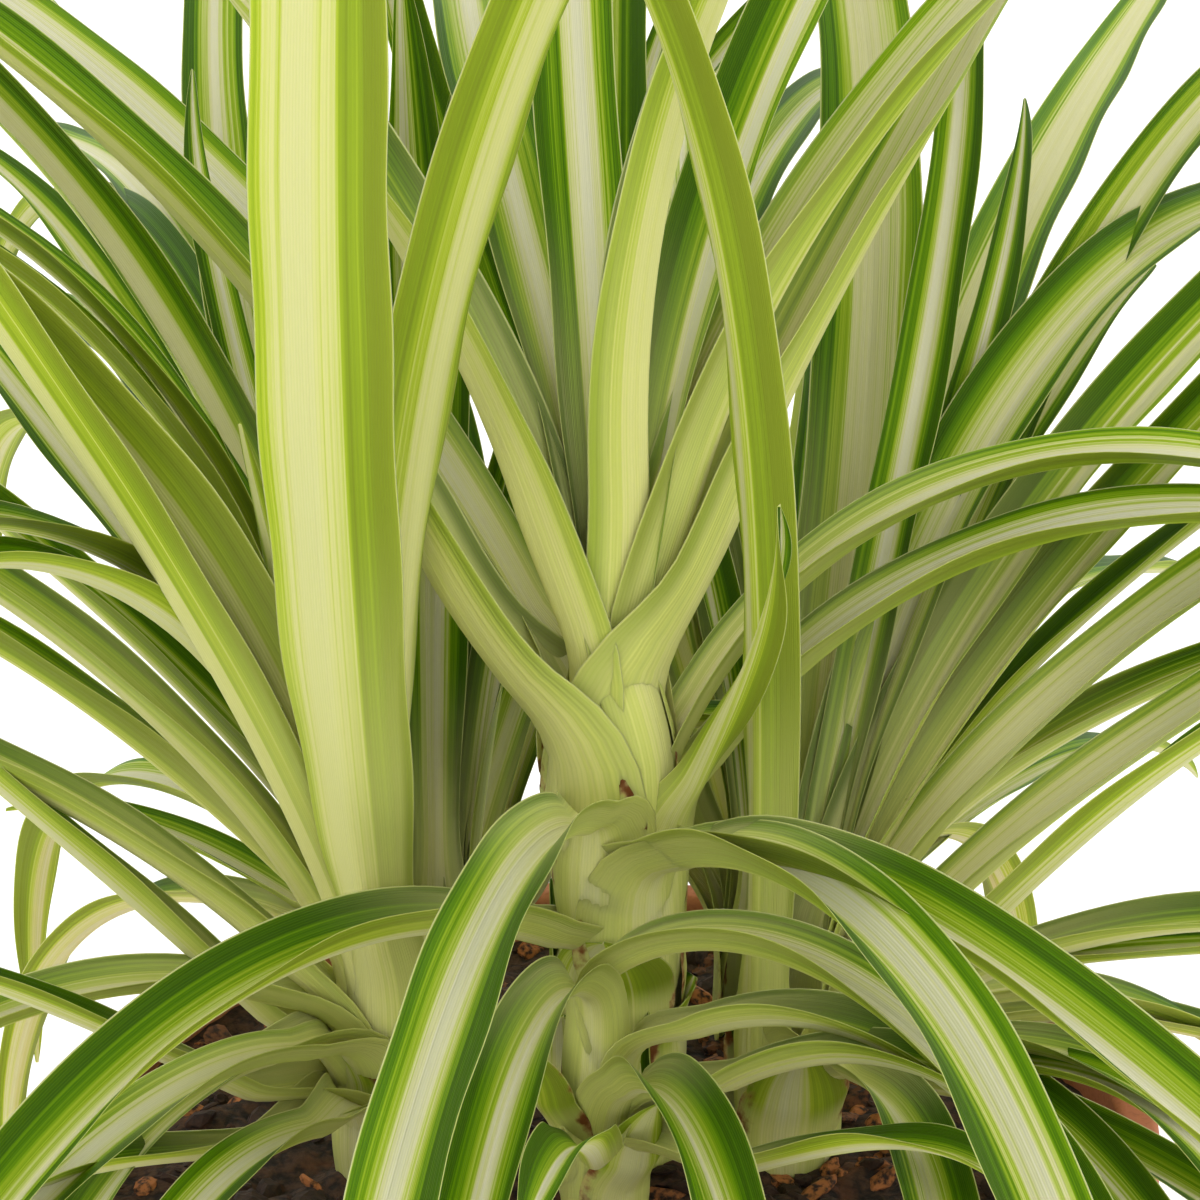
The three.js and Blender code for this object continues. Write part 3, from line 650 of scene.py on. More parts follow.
def blade_axes(plan, line, step):
    """The sideways direction and the direction that the upper face looks in."""
    before = line[max(step - 1, 0)][1]
    after = line[min(step + 1, len(line) - 1)][1]
    forward = (after - before).normalized()
    along = max(line[step][0], 0) / plan.length
    heading = radians(plan.heading + plan.sweep * along)
    side = Vector((sin(heading), -cos(heading), 0))
    side = (side - forward * side.dot(forward)).normalized()
    face = side.cross(forward)
    first, last = plan.roll
    roll = radians(first + (last - first) * along)
    return side * cos(roll) + face * sin(roll), face * cos(roll) - side * sin(roll)


# %% How wide, folded, thick and wrapped a blade is
SHEATH_LENGTH = 40
FOLD_AT_ROOT = 72
FOLD_LENGTH = 55
TAPER_START, TAPER_END = 3.5, 0.8
NARROWEST_TIP = 0.9
BLADE_THICKNESS = 0.6
SHEATH_THICKENING = 0.6
WRAP_START = 6
FOOT_END = 0.02
SOFT_FOLD, SOFT_ROOT, SOFT_BROAD_ROOT = 0.05, 0.2, 0.3
BROAD_FOOT = 0.42
BROAD_LENGTH = 90
BROAD_FOLD_LENGTH = 150
BROAD_OPEN_START, BROAD_OPEN_END = 4, 46
BROAD_WRAP_END = 62
CENTRED_START, CENTRED_END, CENTRED_LENGTH = 6, 60, 180


def faded(distance, length, power=1):
    """1 at the root, and less and less with the distance from it."""
    return exp(-((max(distance, 0) / length) ** power))


def blade_size(plan, distance, clasp):
    """Half the width, the fold in radians, the wrap and the softness of the fold at one place, and
    the half width that the blade would have there without its sheath."""
    along = max(distance, 0) / plan.length
    taper = max(1 - along**TAPER_START, 0) ** TAPER_END
    narrowest = NARROWEST_TIP / 2 * (1.2 - along)
    if plan.sheath > BROAD_SHEATH:
        share = 1 + BROAD_FOOT * faded(distance, BROAD_LENGTH, 2)
        bare = plan.width / 2 * share * taper
        folding = (plan.shut - plan.open) * faded(distance, BROAD_FOLD_LENGTH, 2)
        wrap = 1 - smooth_share(distance, 0, BROAD_WRAP_END)
        sheathed = 1 - smooth_share(distance, BROAD_OPEN_START, BROAD_OPEN_END)
        half = bare + (clasp * plan.hug - bare) * sheathed
        soft = SOFT_FOLD + SOFT_BROAD_ROOT * faded(distance, BROAD_LENGTH)
    else:
        share = 1 + (plan.sheath - 1) * faded(distance, SHEATH_LENGTH)
        bare = max(plan.width / 2 * share * taper, narrowest)
        folding = (FOLD_AT_ROOT - plan.open) * faded(distance, FOLD_LENGTH)
        wrap = 1 - smooth_share(distance, WRAP_START, SHEATH_LENGTH)
        sheathed = 1 - smooth_share(distance, 0, SHEATH_LENGTH)
        half = bare + (clasp * plan.hug * taper - bare) * sheathed
        soft = SOFT_FOLD + SOFT_ROOT * faded(distance, SHEATH_LENGTH)
    half = max(half, narrowest)
    if distance < 0:
        half *= max(1 - (distance / FOOT_DEPTH) ** 2, FOOT_END) ** 0.5
    return half, radians(plan.open + folding), wrap, soft, bare


def set_back(plan, distance, face, depth):
    """How a young leaf is moved so that its broad open side, and not its fold, lies on the line."""
    share = smooth_share(distance, CENTRED_START, CENTRED_END) * faded(distance, CENTRED_LENGTH, 2)
    return (Vector((0, plan.behind, 0)) - face * depth) * share


# %% How green and how dry a leaf is
PALE_START, PALE_START_BY_TONE = 35, 20
PALE_END, PALE_END_BY_TONE = 200, 95
SCAR_HEIGHT, SCAR_SPREAD = 2, 14


def grown_share(plan, distance):
    """0 where a leaf is still pale as it was inside the crown, and its foot is painted brighter as painted
    light against the shade there, 1 where it has its full stripes.
    """
    start = min(PALE_START - PALE_START_BY_TONE * plan.tone, 0.1 * plan.length)
    finish = min(PALE_END - PALE_END_BY_TONE * plan.tone, 0.4 * plan.length)
    return smooth_share(distance, start, finish)


def dry_share(plan, distance):
    scar = 1 - smooth_share(abs(distance - SCAR_HEIGHT), 0, SCAR_SPREAD)
    return max(plan.dry, plan.scar * scar)


# %% [markdown]
# Below the living leaves a stem keeps the feet of the leaves that it has dropped: short clasping
# scales, some still green and some dried to brown paper. They are short leaves of the same kind.

# %% Old leaf feet
OLD_FOOT_STEP = 5.5
OLD_FOOT_TURN = 137.5
OLD_FOOT_START = -60
LOWEST_OLD_FOOT = 5
FEWEST_OLD_FEET = 2


def old_feet(plan, dice):
    feet = []
    for count in range(max(int(plan.stem_height / 2 / OLD_FOOT_STEP), FEWEST_OLD_FEET)):
        foot = leaf(
            count * OLD_FOOT_TURN + dice.uniform(-20, 20) + OLD_FOOT_START,
            (2, 8, dice.uniform(15, 50)),
            1,
            dice.uniform(-20, 20),
            LOWEST_OLD_FOOT + count * OLD_FOOT_STEP,
            dice.uniform(14, 26),
            plan.stem_radius * 1.5,
            sheath=0.99,
            tone=dice.choice((0.3, 0.6, 0.9)),
            dry=dice.choice((0.2, 0.5, 0.7, 0.9)),
            reach=plan.stem_radius,
        )
        feet.append(foot)
    return feet


# %% The paths of a whole crown
INNER_CLASP, OUTER_CLASP = 0.88, 1.08
PATTERN_SHIFT = 0.6


def clasp_radius(plan, one, order):
    """Outer leaves clasp the inner ones, so their sheaths are wider."""
    outward = min(order / len(plan.leaves), 1)
    share = INNER_CLASP + (OUTER_CLASP - INNER_CLASP) * outward
    return one.clasp or plan.stem_radius * share * plan.slimmer


def path_point(one, line, step, clasp):
    """All that the blade tree needs to know at one point of a fold line."""
    distance, point = line[step]
    side, face = blade_axes(one, line, step)
    half, fold, wrap, soft, bare = blade_size(one, distance, clasp)
    if one.sheath > BROAD_SHEATH:
        point = point + set_back(one, distance, face, 0.5 * bare * sin(fold))
    values = {"half": half * MM, "fold": fold, "wrap": wrap, "soft": soft, "clasp": clasp * MM}
    values["thick"] = (BLADE_THICKNESS + SHEATH_THICKENING * faded(distance, SHEATH_LENGTH)) * MM
    values.update(along=distance * MM, tone=one.tone)
    values.update(dry=dry_share(one, distance), grown=grown_share(one, distance))
    values.update(mid=point * MM, side=side, face=face)
    return values


def make_paths(name, plan):
    """All fold lines of a crown in one mesh of edges, with the blade's values on its points."""
    dice = random.Random(name)
    points, edges = [], []
    blades = sorted(plan.leaves, key=lambda one: -one.rise) + old_feet(plan, dice)
    for order, one in enumerate(blades):
        clasp = clasp_radius(plan, one, order)
        line = clasped_line(plan.axis, one, clasp)
        token = dice.random()
        shift = (token - 0.5) * PATTERN_SHIFT if one.shift is None else one.shift
        for step in range(len(line)):
            if step:
                edges.append((len(points) - 1, len(points)))
            points.append({"leaf": token, "shift": shift, **path_point(one, line, step, clasp)})
    mesh = bpy.data.meshes.new(name + "_paths")
    mesh.from_pydata([point["mid"] for point in points], edges, [])
    for key, first in points[0].items():
        column = [point[key] for point in points]
        if isinstance(first, Vector):
            flat = [number for vector in column for number in vector]
            mesh.attributes.new(key, "FLOAT_VECTOR", "POINT").data.foreach_set("vector", flat)
        else:
            mesh.attributes.new(key, "FLOAT", "POINT").data.foreach_set("value", column)
    return mesh


print("a leaf has", LEAF_STEPS + FOOT_STEPS, "steps")

# %% [markdown]
# ## From a path to a blade
# A blade follows a path, which is what Geometry Nodes do well. The tree sweeps a circle along each
# fold line, then moves every point of the tube: across the blade by its cosine, up the two folded
# halves, and through the thickness by its sine. A round section that is pressed this flat leaves a
# soft edge all round. A slow wave lifts the margins a little, as on a living leaf.


# %% Helpers for Geometry Nodes
VECTOR = "FLOAT_VECTOR"


def shaped(tree, kind, inputs=None, **settings):
    """What comes out of a geometry node."""
    return add(tree, "GeometryNode" + kind, inputs, **settings).outputs[0]


def start_tree(name, inputs, output):
    """Each named input is given by its usual number, or by its kind where it has none."""
    tree = bpy.data.node_groups.new(name, "GeometryNodeTree")
    for label, value in inputs.items():
        kind = {int: "Int", float: "Float"}.get(type(value), value)
        socket = tree.interface.new_socket(label, in_out="INPUT", socket_type=f"NodeSocket{kind}")
        if kind != value:
            socket.default_value = value
    tree.interface.new_socket(output, in_out="OUTPUT", socket_type="NodeSocketGeometry")
    return tree, add(tree, "NodeGroupInput").outputs


def end_tree(tree, geometry, material):
    """Instances become a real mesh, because the export drops them, and get their material."""
    real = shaped(tree, "RealizeInstances", {"Geometry": geometry})
    inputs = {"Geometry": real, "Material": material}
    add(tree, "NodeGroupOutput", {0: shaped(tree, "SetMaterial", inputs)})
    return tree


def named(tree, name, data_type="FLOAT"):
    return shaped(tree, "InputNamedAttribute", {"Name": name}, data_type=data_type)


def store(geometry, name, value, data_type="FLOAT", domain="POINT"):
    inputs = {"Geometry": geometry, "Name": name}
    settings = {"data_type": data_type, "domain": domain}
    node = add(geometry.id_data, "GeometryNodeStoreNamedAttribute", inputs, **settings)
    fill(node, {"Value": value})
    return node.outputs[0]


def blended(share, first, second):
    inputs = {"Value": share, "To Min": first, "To Max": second}
    return add(share.id_data, "ShaderNodeMapRange", inputs).outputs[0]


# %% The folded blade, the sheath and the wave
WAVE_SLANT, WAVES_APART = 1.3, 40.0


def folded_section(tree, across, half):
    """Place and upward direction of a folded blade's middle layer, in its own side and face."""
    fold, soft = named(tree, "fold"), named(tree, "soft")
    # the root of (across squared + softness squared) rounds the sharp fold of |across|
    root = plus(times(across, across), times(soft, soft))
    root = sum_of("SQRT", root)
    sine, cosine = sum_of("SINE", fold), sum_of("COSINE", fold)
    x = times(half, times(across, cosine))
    y = times(half, times(minus(root, soft), sine))
    slope = sum_of("DIVIDE", across, root)
    return x, y, times(times(slope, sine), -1.0), cosine


def sheath_section(tree, across, half):
    """The same for a sheath, which is an arc round the stem."""
    clasp = named(tree, "clasp")
    turn = sum_of("DIVIDE", times(across, half), clasp)
    sine, cosine = sum_of("SINE", turn), sum_of("COSINE", turn)
    x = times(clasp, sine)
    y = times(clasp, minus(1.0, cosine))
    return x, y, times(sine, -1.0), cosine


def wave_height(tree, given, across):
    """The margins rise and fall slowly along a leaf, and each leaf starts elsewhere."""
    turns = sum_of("DIVIDE", named(tree, "along"), given["Wave length"])
    phase = plus(times(turns, 2 * pi), times(across, WAVE_SLANT))
    phase = plus(phase, times(named(tree, "leaf"), WAVES_APART))
    wave = times(sum_of("SINE", phase), given["Wave height"])
    return times(wave, times(across, across))


# %% Blade tree
BLADE_INPUTS = {
    "Paths": "Geometry",
    "Points around": 36,
    "Crowding": 1.3,
    "Wave height": 0.5 * MM,
    "Wave length": 55 * MM,
    "Blade material": "Material",
}


def build_blade_tree():
    tree, given = start_tree("folded blades", BLADE_INPUTS, "Blades")
    lines = shaped(tree, "MeshToCurve", {"Mesh": given["Paths"]})
    inputs = {"Resolution": given["Points around"], "Radius": 1.0}
    ring = shaped(tree, "CurvePrimitiveCircle", inputs)
    here = shaped(tree, "InputPosition")
    ring = store(ring, "ring", here, VECTOR)
    inputs = {"Curve": lines, "Profile Curve": ring, "Fill Caps": True}
    tube = shaped(tree, "CurveToMesh", inputs)

    ring_place = add(tree, "ShaderNodeSeparateXYZ", {0: named(tree, "ring", VECTOR)}).outputs
    spread = sum_of("POWER", sum_of("ABSOLUTE", ring_place[0]), given["Crowding"])
    across = times(spread, sum_of("SIGN", ring_place[0]))
    height = ring_place[1]
    half, wrap = named(tree, "half"), named(tree, "wrap")

    # one section turns into the other along the leaf
    folded = folded_section(tree, across, half)
    sheath = sheath_section(tree, across, half)
    x, y, up_x, up_y = [blended(wrap, *pair) for pair in zip(folded, sheath)]

    through = times(minus(height, 1.0), times(named(tree, "thick"), 0.5))
    through = plus(through, wave_height(tree, given, across))
    sideways = plus(x, times(up_x, through))
    upward = plus(y, times(up_y, through))
    moved = scaled(named(tree, "side", VECTOR), sideways)
    moved = vector_of("ADD", named(tree, "mid", VECTOR), moved)
    lifted = scaled(named(tree, "face", VECTOR), upward)
    moved = vector_of("ADD", moved, lifted)
    blades = shaped(tree, "SetPosition", {"Geometry": tube, "Position": moved})
    blades = store(blades, "across", across)
    blades = store(blades, "under", sum_of("LESS_THAN", height, 0.0))
    blades = shaped(tree, "SetShadeSmooth", {"Geometry": blades})
    return end_tree(tree, blades, given["Blade material"])


blade_tree = build_blade_tree()
print("blade tree:", len(blade_tree.nodes), "nodes")


# %% Run a tree on a mesh and keep the plain result
def baked(name, mesh, tree, settings):
    """Puts the tree on a throw-away object, and returns a plain mesh object of what it makes."""
    carrier = put(name + "_carrier", mesh)
    modifier = carrier.modifiers.new("tree", "NODES")
    modifier.node_group = tree
    for item in tree.interface.items_tree:
        if item.item_type == "SOCKET" and item.in_out == "INPUT" and item.name in settings:
            modifier[item.identifier] = settings[item.name]
    seen = carrier.evaluated_get(bpy.context.evaluated_depsgraph_get())
    plain = bpy.data.meshes.new_from_object(seen)
    plain.name = name
    carrier.modifiers.clear()
    bpy.data.objects.remove(carrier)
    return put(name, plain)


def signed_volume(mesh):
    """In cubic metres, and below zero where the faces point inwards."""
    shell = bmesh.new()
    shell.from_mesh(mesh)
    volume = shell.calc_volume(signed=True)
    shell.free()
    return volume


def cubic_cm(mesh):
    return round(signed_volume(mesh) * 1e6, 1)


# %% [markdown]
# ## Stems
# Under its leaves every crown has a short fleshy stem. Old leaves left rings on it when they dropped,
# and their papery feet dried brown there. The stem is a turned shape with a low ridge at each ring.

# %% The stem's skin
STEM_PALE, STEM_GREEN = srgb(196, 200, 128), srgb(158, 166, 84)
STEM_BROWN = srgb(122, 66, 34)


def paint_stem():
    material, tree, shader = start_material("fleshy stem")
    blotch = solid_noise(tree, 160.0, 4.0)
    colour = mixed(smooth_step(blotch, 0.35, 0.6), STEM_PALE, STEM_GREEN)
    scar = smooth_step(leaf_value(tree, "scar"), 0.35, 0.9)
    scar = times(scar, smooth_step(blotch, 0.38, 0.55))
    colour = mixed(scar, colour, STEM_BROWN)
    skin(shader, colour, 0.55, relief(blotch, 0.6, 0.5 * MM))
    fill(shader, {"Subsurface Weight": 0.2, "Subsurface Scale": 1.5 * MM})
    return material


# %% Shapes made of rings
def ring(radius, height, sides, axis=(0, 0)):
    """Radius is a number, or a rule that gives the radius at an angle; 0 gives a single point."""
    if radius == 0:
        return [Vector((*axis, height)) * MM]
    points = []
    for i in range(sides):
        turn = 2 * pi * i / sides
        reach = radius(turn) if callable(radius) else radius
        place = Vector((axis[0] + reach * cos(turn), axis[1] + reach * sin(turn), height))
        points.append(place * MM)
    return points


def ring_mesh(name, rings):
    """A closed skin from ring to ring, with a flat cap where the first or last is no single point."""
    sides = max(len(points) for points in rings)
    faces, first = [], 0
    for low, high in zip(rings, rings[1:]):
        next_first = first + len(low)
        for i in range(sides):
            j = (i + 1) % sides
            below = [first + i % len(low), first + j % len(low)]
            above = [next_first + j % len(high), next_first + i % len(high)]
            faces.append(tuple(dict.fromkeys(below + above)))
        first = next_first
    if len(rings[0]) > 1:
        faces.append(tuple(range(sides))[::-1])
    if len(rings[-1]) > 1:
        faces.append(tuple(range(first, first + sides)))
    mesh = bpy.data.meshes.new(name)
    mesh.from_pydata([point for points in rings for point in points], [], faces)
    mesh.shade_smooth()
    return mesh


# %% The stem's shape
STEM_DEPTH = 30
STEM_SLIMNESS = 0.82
STEM_BELOW_TOP = 12
STEM_SIDES = 36
ROW_STEP = 1.5
DOME_HEIGHT, DOME_POINT = 10, 0.05
SCAR_STEP, SCAR_RIDGE, SCAR_MIDDLE, SCAR_WIDTH = 9, 0.6, 1.5, 2
SKIN_ROUGHNESS = 0.05


def scar_share(level):
    """1 on the ridge of a leaf scar, 0 between two of them."""
    return max(0.0, 1 - abs((level % SCAR_STEP) - SCAR_MIDDLE) / SCAR_WIDTH)


def stem_radius_at(plan, level):
    """The rule for one ring: slimmer at the domed top, rough all round, wider at a scar."""
    rise = (level - plan.stem_height + STEM_BELOW_TOP + DOME_HEIGHT) / DOME_HEIGHT
    dome = max(0.0, 1 - max(rise, 0) ** 2) ** 0.5
    radius = plan.stem_radius * STEM_SLIMNESS * plan.slimmer * max(dome, DOME_POINT)

    def rule(turn):
        rough = noise.noise(Vector((cos(turn) * 2, sin(turn) * 2, level * 0.2)))
        return radius * (1 + SKIN_ROUGHNESS * rough) + SCAR_RIDGE * scar_share(level)

    return rule


def make_stem(name, plan, material):
    count = int((plan.stem_height - STEM_BELOW_TOP + STEM_DEPTH) / ROW_STEP)
    levels = [1 - STEM_DEPTH + row * ROW_STEP for row in range(count)]
    rings, scars = [], []
    for level in levels:
        rule = stem_radius_at(plan, level)
        rings.append(ring(rule, SOIL_MIDDLE + level, STEM_SIDES, plan.axis))
        scars += [scar_share(level)] * STEM_SIDES
    mesh = ring_mesh(name + "_stem", rings)
    mesh.attributes.new("scar", "FLOAT", "POINT").data.foreach_set("value", scars)
    mesh.materials.append(material)
    return put(name + "_stem", mesh)


# %% Grow the crowns
stem_material = paint_stem()
for crown_name, crown_plan in CROWNS.items():
    paths = make_paths(crown_name, crown_plan)
    blades = baked(crown_name + "_leaves", paths, blade_tree, {"Blade material": leaf_material})
    if signed_volume(blades.data) < 0:
        blades.data.flip_normals()
    stem = make_stem(crown_name, crown_plan, stem_material)
    for piece in (blades, stem):
        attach(piece, "root")
        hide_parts(crown_name)
    print(crown_name, len(blades.data.polygons), "faces", cubic_cm(blades.data), "cm3")

# %% [markdown]
# ## Soil
# The potting mix is dark, crumbly coir with chips of bark. A gently mounded sheet carries the fine
# crumbs as relief, and Geometry Nodes scatter some 850 chips over it. The chips are loose and tiny,
# so they aren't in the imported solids.

# %% The pot's and the soil's sizes
POT_HEIGHT = 176
LIP_HEIGHT = 26
LIP_BOTTOM = POT_HEIGHT - LIP_HEIGHT
LIP_STEP = 3
POT_LIP_RADIUS = 111
POT_FOOT_RADIUS = 76
POT_WALL = 5
POT_FLOOR = 6
SOIL_GAP = 0.3
SOIL_FALL = 4
LUMP_HEIGHT = 1.3
CRUMB_HEIGHT, CRUMB_FINENESS = 1.1, 0.22


def pot_outside(height):
    return POT_FOOT_RADIUS + (POT_LIP_RADIUS - LIP_STEP - POT_FOOT_RADIUS) * height / LIP_BOTTOM


def pot_inside(height):
    return pot_outside(min(height, LIP_BOTTOM)) - POT_WALL


def soil_height(x, y):
    """The lumps of the packed soil, and crumbs on them."""
    lump = sin(x * 0.19 + 1) * cos(y * 0.23) + 0.6 * sin(x * 0.31 - y * 0.37)
    outward = hypot(x, y) / pot_inside(POT_HEIGHT)
    crumbs = CRUMB_HEIGHT * noise.fractal(Vector((x, y, 0)) * CRUMB_FINENESS, 0.9, 2.1, 4)
    return SOIL_MIDDLE - SOIL_FALL * outward**3 + LUMP_HEIGHT * (lump - 1.2) + crumbs


# %% Soil
SOIL_DARK, SOIL_BROWN, SOIL_CLOD = srgb(28, 18, 12), srgb(74, 50, 34), srgb(96, 58, 34)
SOIL_RINGS = 60
SOIL_SIDES = 180


def paint_soil():
    material, tree, shader = start_material("bark soil")
    crumb = solid_noise(tree, 420.0, 6.0)
    clod = solid_noise(tree, 90.0, 3.0)
    colour = mixed(smooth_step(crumb, 0.35, 0.65), SOIL_DARK, SOIL_BROWN)
    colour = mixed(smooth_step(clod, 0.55, 0.7), colour, SOIL_CLOD)
    skin(shader, colour, 0.95, relief(crumb, 1.0, 1.2 * MM))
    return material


def make_soil():
    rim, foot = pot_inside(SOIL_MIDDLE) - SOIL_GAP, POT_FLOOR + SOIL_GAP
    profile = [(0, foot), (pot_inside(POT_FLOOR) - SOIL_GAP, foot), (rim, LIP_BOTTOM)]
    profile += [(rim * ring / SOIL_RINGS, SOIL_MIDDLE) for ring in range(SOIL_RINGS, -1, -1)]
    mesh = ring_mesh("soil_fine", [ring(*corner, SOIL_SIDES) for corner in profile])
    for vertex in mesh.vertices:
        if vertex.co.z > (SOIL_MIDDLE - 1) * MM:
            vertex.co.z = soil_height(vertex.co.x / MM, vertex.co.y / MM) * MM
    mesh.materials.append(paint_soil())
    return put("soil_fine", mesh)


soil = make_soil()
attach(soil, "root")
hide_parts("soil")
print("soil volume", cubic_cm(soil.data), "cm3")

# %% Bark
BARK_BROWN, BARK_RED, BARK_DARK = srgb(56, 34, 21), srgb(172, 106, 56), srgb(40, 25, 16)
CHIP_INPUTS = {
    "Ground": "Geometry",
    "Chips per square metre": 26000.0,
    "Smallest": 0.7 * MM,
    "Largest": 4.4 * MM,
    "Reach": 96 * MM,
    "Seed": 4,
    "Chip material": "Material",
}
SIZE_SEED, SHAPE_SEED, COLOUR_SEED = 11, 12, 13
STEEPEST_GROUND = 0.3  # how far a face must look up to carry chips
MOST_TILT = (0.7, 0.7, 3.2)


def paint_bark():
    material, tree, shader = start_material("bark chips")
    grain = solid_noise(tree, 700.0, 5.0)
    pick = smooth_step(leaf_value(tree, "chip"), 0.45, 0.9)
    colour = mixed(pick, BARK_BROWN, BARK_RED)
    colour = mixed(smooth_step(grain, 0.4, 0.65), colour, BARK_DARK)
    skin(shader, colour, 0.85, relief(grain, 0.8, 0.5 * MM))
    return material


# %% Bark chips scattered on the soil
def chance(tree, data_type, least, most, seed):
    """A random number or vector for each chip."""
    first = 0 if data_type == VECTOR else 2
    inputs = {first: least, first + 1: most, "Seed": seed}
    node = add(tree, "FunctionNodeRandomValue", inputs, data_type=data_type)
    return node.outputs[0 if data_type == VECTOR else 1]


def chip_shape(tree):
    """A ball of few faces, dented so that no two sides are alike."""
    lump = shaped(tree, "MeshIcoSphere", {"Radius": 1.0, "Subdivisions": 2})
    here = shaped(tree, "InputPosition")
    crack = add(tree, "ShaderNodeTexVoronoi", {"Vector": here, "Scale": 1.7}).outputs["Distance"]
    dented = scaled(here, plus(0.55, times(crack, 0.7)))
    return shaped(tree, "SetPosition", {"Geometry": lump, "Position": dented})


def build_chip_tree():
    tree, given = start_tree("scattered bark", CHIP_INPUTS, "Chips")
    normal = shaped(tree, "InputNormal")
    facing = add(tree, "ShaderNodeSeparateXYZ", {0: normal}).outputs[2]
    upward = sum_of("GREATER_THAN", facing, STEEPEST_GROUND)
    level = vector_of("MULTIPLY", shaped(tree, "InputPosition"), (1, 1, 0))
    outward = add(tree, "ShaderNodeVectorMath", {0: level}, operation="LENGTH").outputs["Value"]
    inside = sum_of("LESS_THAN", outward, given["Reach"])
    inputs = {"Mesh": given["Ground"], "Density": given["Chips per square metre"], "Seed": given["Seed"]}
    inputs["Selection"] = times(upward, inside)
    scatter = shaped(tree, "DistributePointsOnFaces", inputs)
    least_tilt = [-angle for angle in MOST_TILT]
    turn = chance(tree, VECTOR, least_tilt, MOST_TILT, given["Seed"])
    size = chance(tree, "FLOAT", given["Smallest"], given["Largest"], SIZE_SEED)
    shape = chance(tree, VECTOR, (0.5, 0.4, 0.25), (1.6, 0.9, 0.6), SHAPE_SEED)
    inputs = {"Points": scatter, "Instance": chip_shape(tree), "Rotation": turn}
    inputs["Scale"] = scaled(shape, size)
    chips = shaped(tree, "InstanceOnPoints", inputs)
    pick = chance(tree, "FLOAT", 0.0, 1.0, COLOUR_SEED)
    chips = store(chips, "chip", pick, domain="INSTANCE")
    return end_tree(tree, chips, given["Chip material"])


chips = baked("bark_chips", soil.data.copy(), build_chip_tree(), {"Chip material": paint_bark()})
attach(chips, "root")
print("bark chips:", len(chips.data.polygons), "faces")

# %% [markdown]
# ## Pot
# The pot is plain unglazed clay: a tapered wall with a heavier lip and five drain holes in its floor.
# It is turned from a profile with small rounds at its edges, because a real rim is never sharp. A
# small tree sets a ring of cylinders and cuts the holes with them.

# %% Clay
CLAY_DARK, CLAY_LIGHT = srgb(176, 104, 70), srgb(200, 134, 98)
CLAY_LIME, CLAY_GRIT = srgb(220, 190, 165), srgb(132, 74, 48)
TURNING_MARKS, MARK_WEIGHT = 2600.0, 0.15


def paint_pot():
    material, tree, shader = start_material("unglazed clay")
    cloud = solid_noise(tree, 18.0, 5.0)
    grit = solid_noise(tree, 900.0, 3.0)
    colour = mixed(smooth_step(cloud, 0.35, 0.7), CLAY_DARK, CLAY_LIGHT)
    lime = times(smooth_step(cloud, 0.6, 0.8), 0.5)
    colour = mixed(lime, colour, CLAY_LIME)
    specks = times(smooth_step(grit, 0.5, 0.75), 0.35)
    colour = mixed(specks, colour, CLAY_GRIT)
    place = add(tree, "ShaderNodeTexCoord").outputs["Object"]
    height = add(tree, "ShaderNodeSeparateXYZ", {0: place}).outputs[2]
    marks = sum_of("SINE", times(height, TURNING_MARKS))
    grain = plus(grit, times(marks, MARK_WEIGHT))
    skin(shader, colour, 0.88, relief(grain, 0.5, 0.3 * MM))
    return material


# %% The pot's shape
EDGE_ROUND = 2
WALL_LEVELS = (40, 90)
POT_SIDES = 160
ROUND_STEPS = 5


def rounded_corner(centre, first, last):
    angles = [radians(first + (last - first) * i / ROUND_STEPS) for i in range(ROUND_STEPS + 1)]
    x, y = centre
    return [(x + EDGE_ROUND * cos(a), y + EDGE_ROUND * sin(a)) for a in angles]


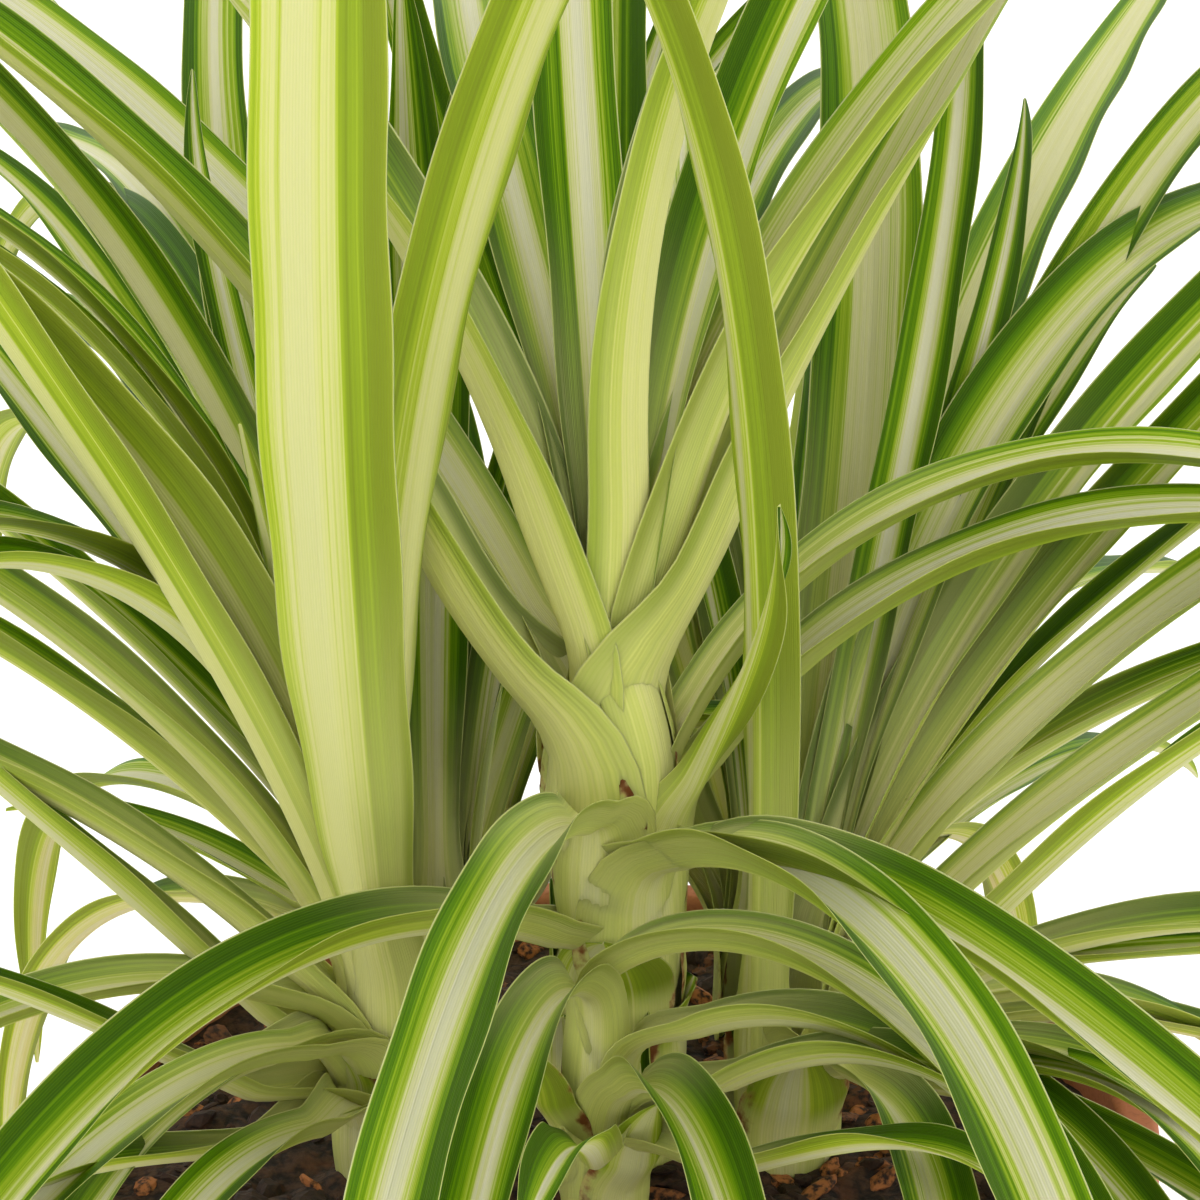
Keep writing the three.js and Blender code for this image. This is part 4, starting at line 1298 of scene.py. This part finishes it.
def make_pot():
    foot = (POT_FOOT_RADIUS - EDGE_ROUND, EDGE_ROUND)
    lip_bottom = (POT_LIP_RADIUS - EDGE_ROUND, LIP_BOTTOM + EDGE_ROUND)
    lip_top = (POT_LIP_RADIUS - EDGE_ROUND, POT_HEIGHT - EDGE_ROUND)
    rim_inside = (pot_inside(POT_HEIGHT) + EDGE_ROUND, POT_HEIGHT - EDGE_ROUND)
    profile = [(0, 0)]
    profile += rounded_corner(foot, -90, -10)
    profile += [(pot_outside(h), h) for h in (*WALL_LEVELS, LIP_BOTTOM - 0.6)]
    profile += rounded_corner(lip_bottom, -90, 0)
    profile += rounded_corner(lip_top, 0, 90)
    profile += rounded_corner(rim_inside, 90, 180)
    profile += [(pot_inside(h), h) for h in (LIP_BOTTOM, *WALL_LEVELS[::-1], POT_FLOOR)]
    profile.append((0, POT_FLOOR))
    return ring_mesh("pot_turned", [ring(*corner, POT_SIDES) for corner in profile])


# %% Drain holes, and the whole pot
DRAIN_INPUTS = {
    "Pot": "Geometry",
    "Holes": 5,
    "Hole circle": 44 * MM,
    "Hole radius": 5 * MM,
    "Pot material": "Material",
}
DRILL_SIDES = 24
DRILL_LENGTH = 4 * POT_FLOOR * MM


def build_drain_tree():
    tree, given = start_tree("drain holes", DRAIN_INPUTS, "Drained pot")
    inputs = {"Vertices": given["Holes"], "Radius": given["Hole circle"]}
    ring = shaped(tree, "MeshCircle", inputs)
    inputs = {"Vertices": DRILL_SIDES, "Radius": given["Hole radius"], "Depth": DRILL_LENGTH}
    drill = shaped(tree, "MeshCylinder", inputs)
    drills = shaped(tree, "InstanceOnPoints", {"Points": ring, "Instance": drill})
    drills = shaped(tree, "RealizeInstances", {"Geometry": drills})
    cut = add(tree, "GeometryNodeMeshBoolean", operation="DIFFERENCE", solver="EXACT")
    fill(cut, {"Mesh 1": given["Pot"], "Mesh 2": drills})
    return end_tree(tree, cut.outputs[0], given["Pot material"])


pot = baked("pot_fine", make_pot(), build_drain_tree(), {"Pot material": paint_pot()})
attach(pot, "root")
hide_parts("pot")
print("pot volume", cubic_cm(pot.data), "cm3")

# %% [markdown]
# The fine pieces have to stay inside the box of the imported solids.
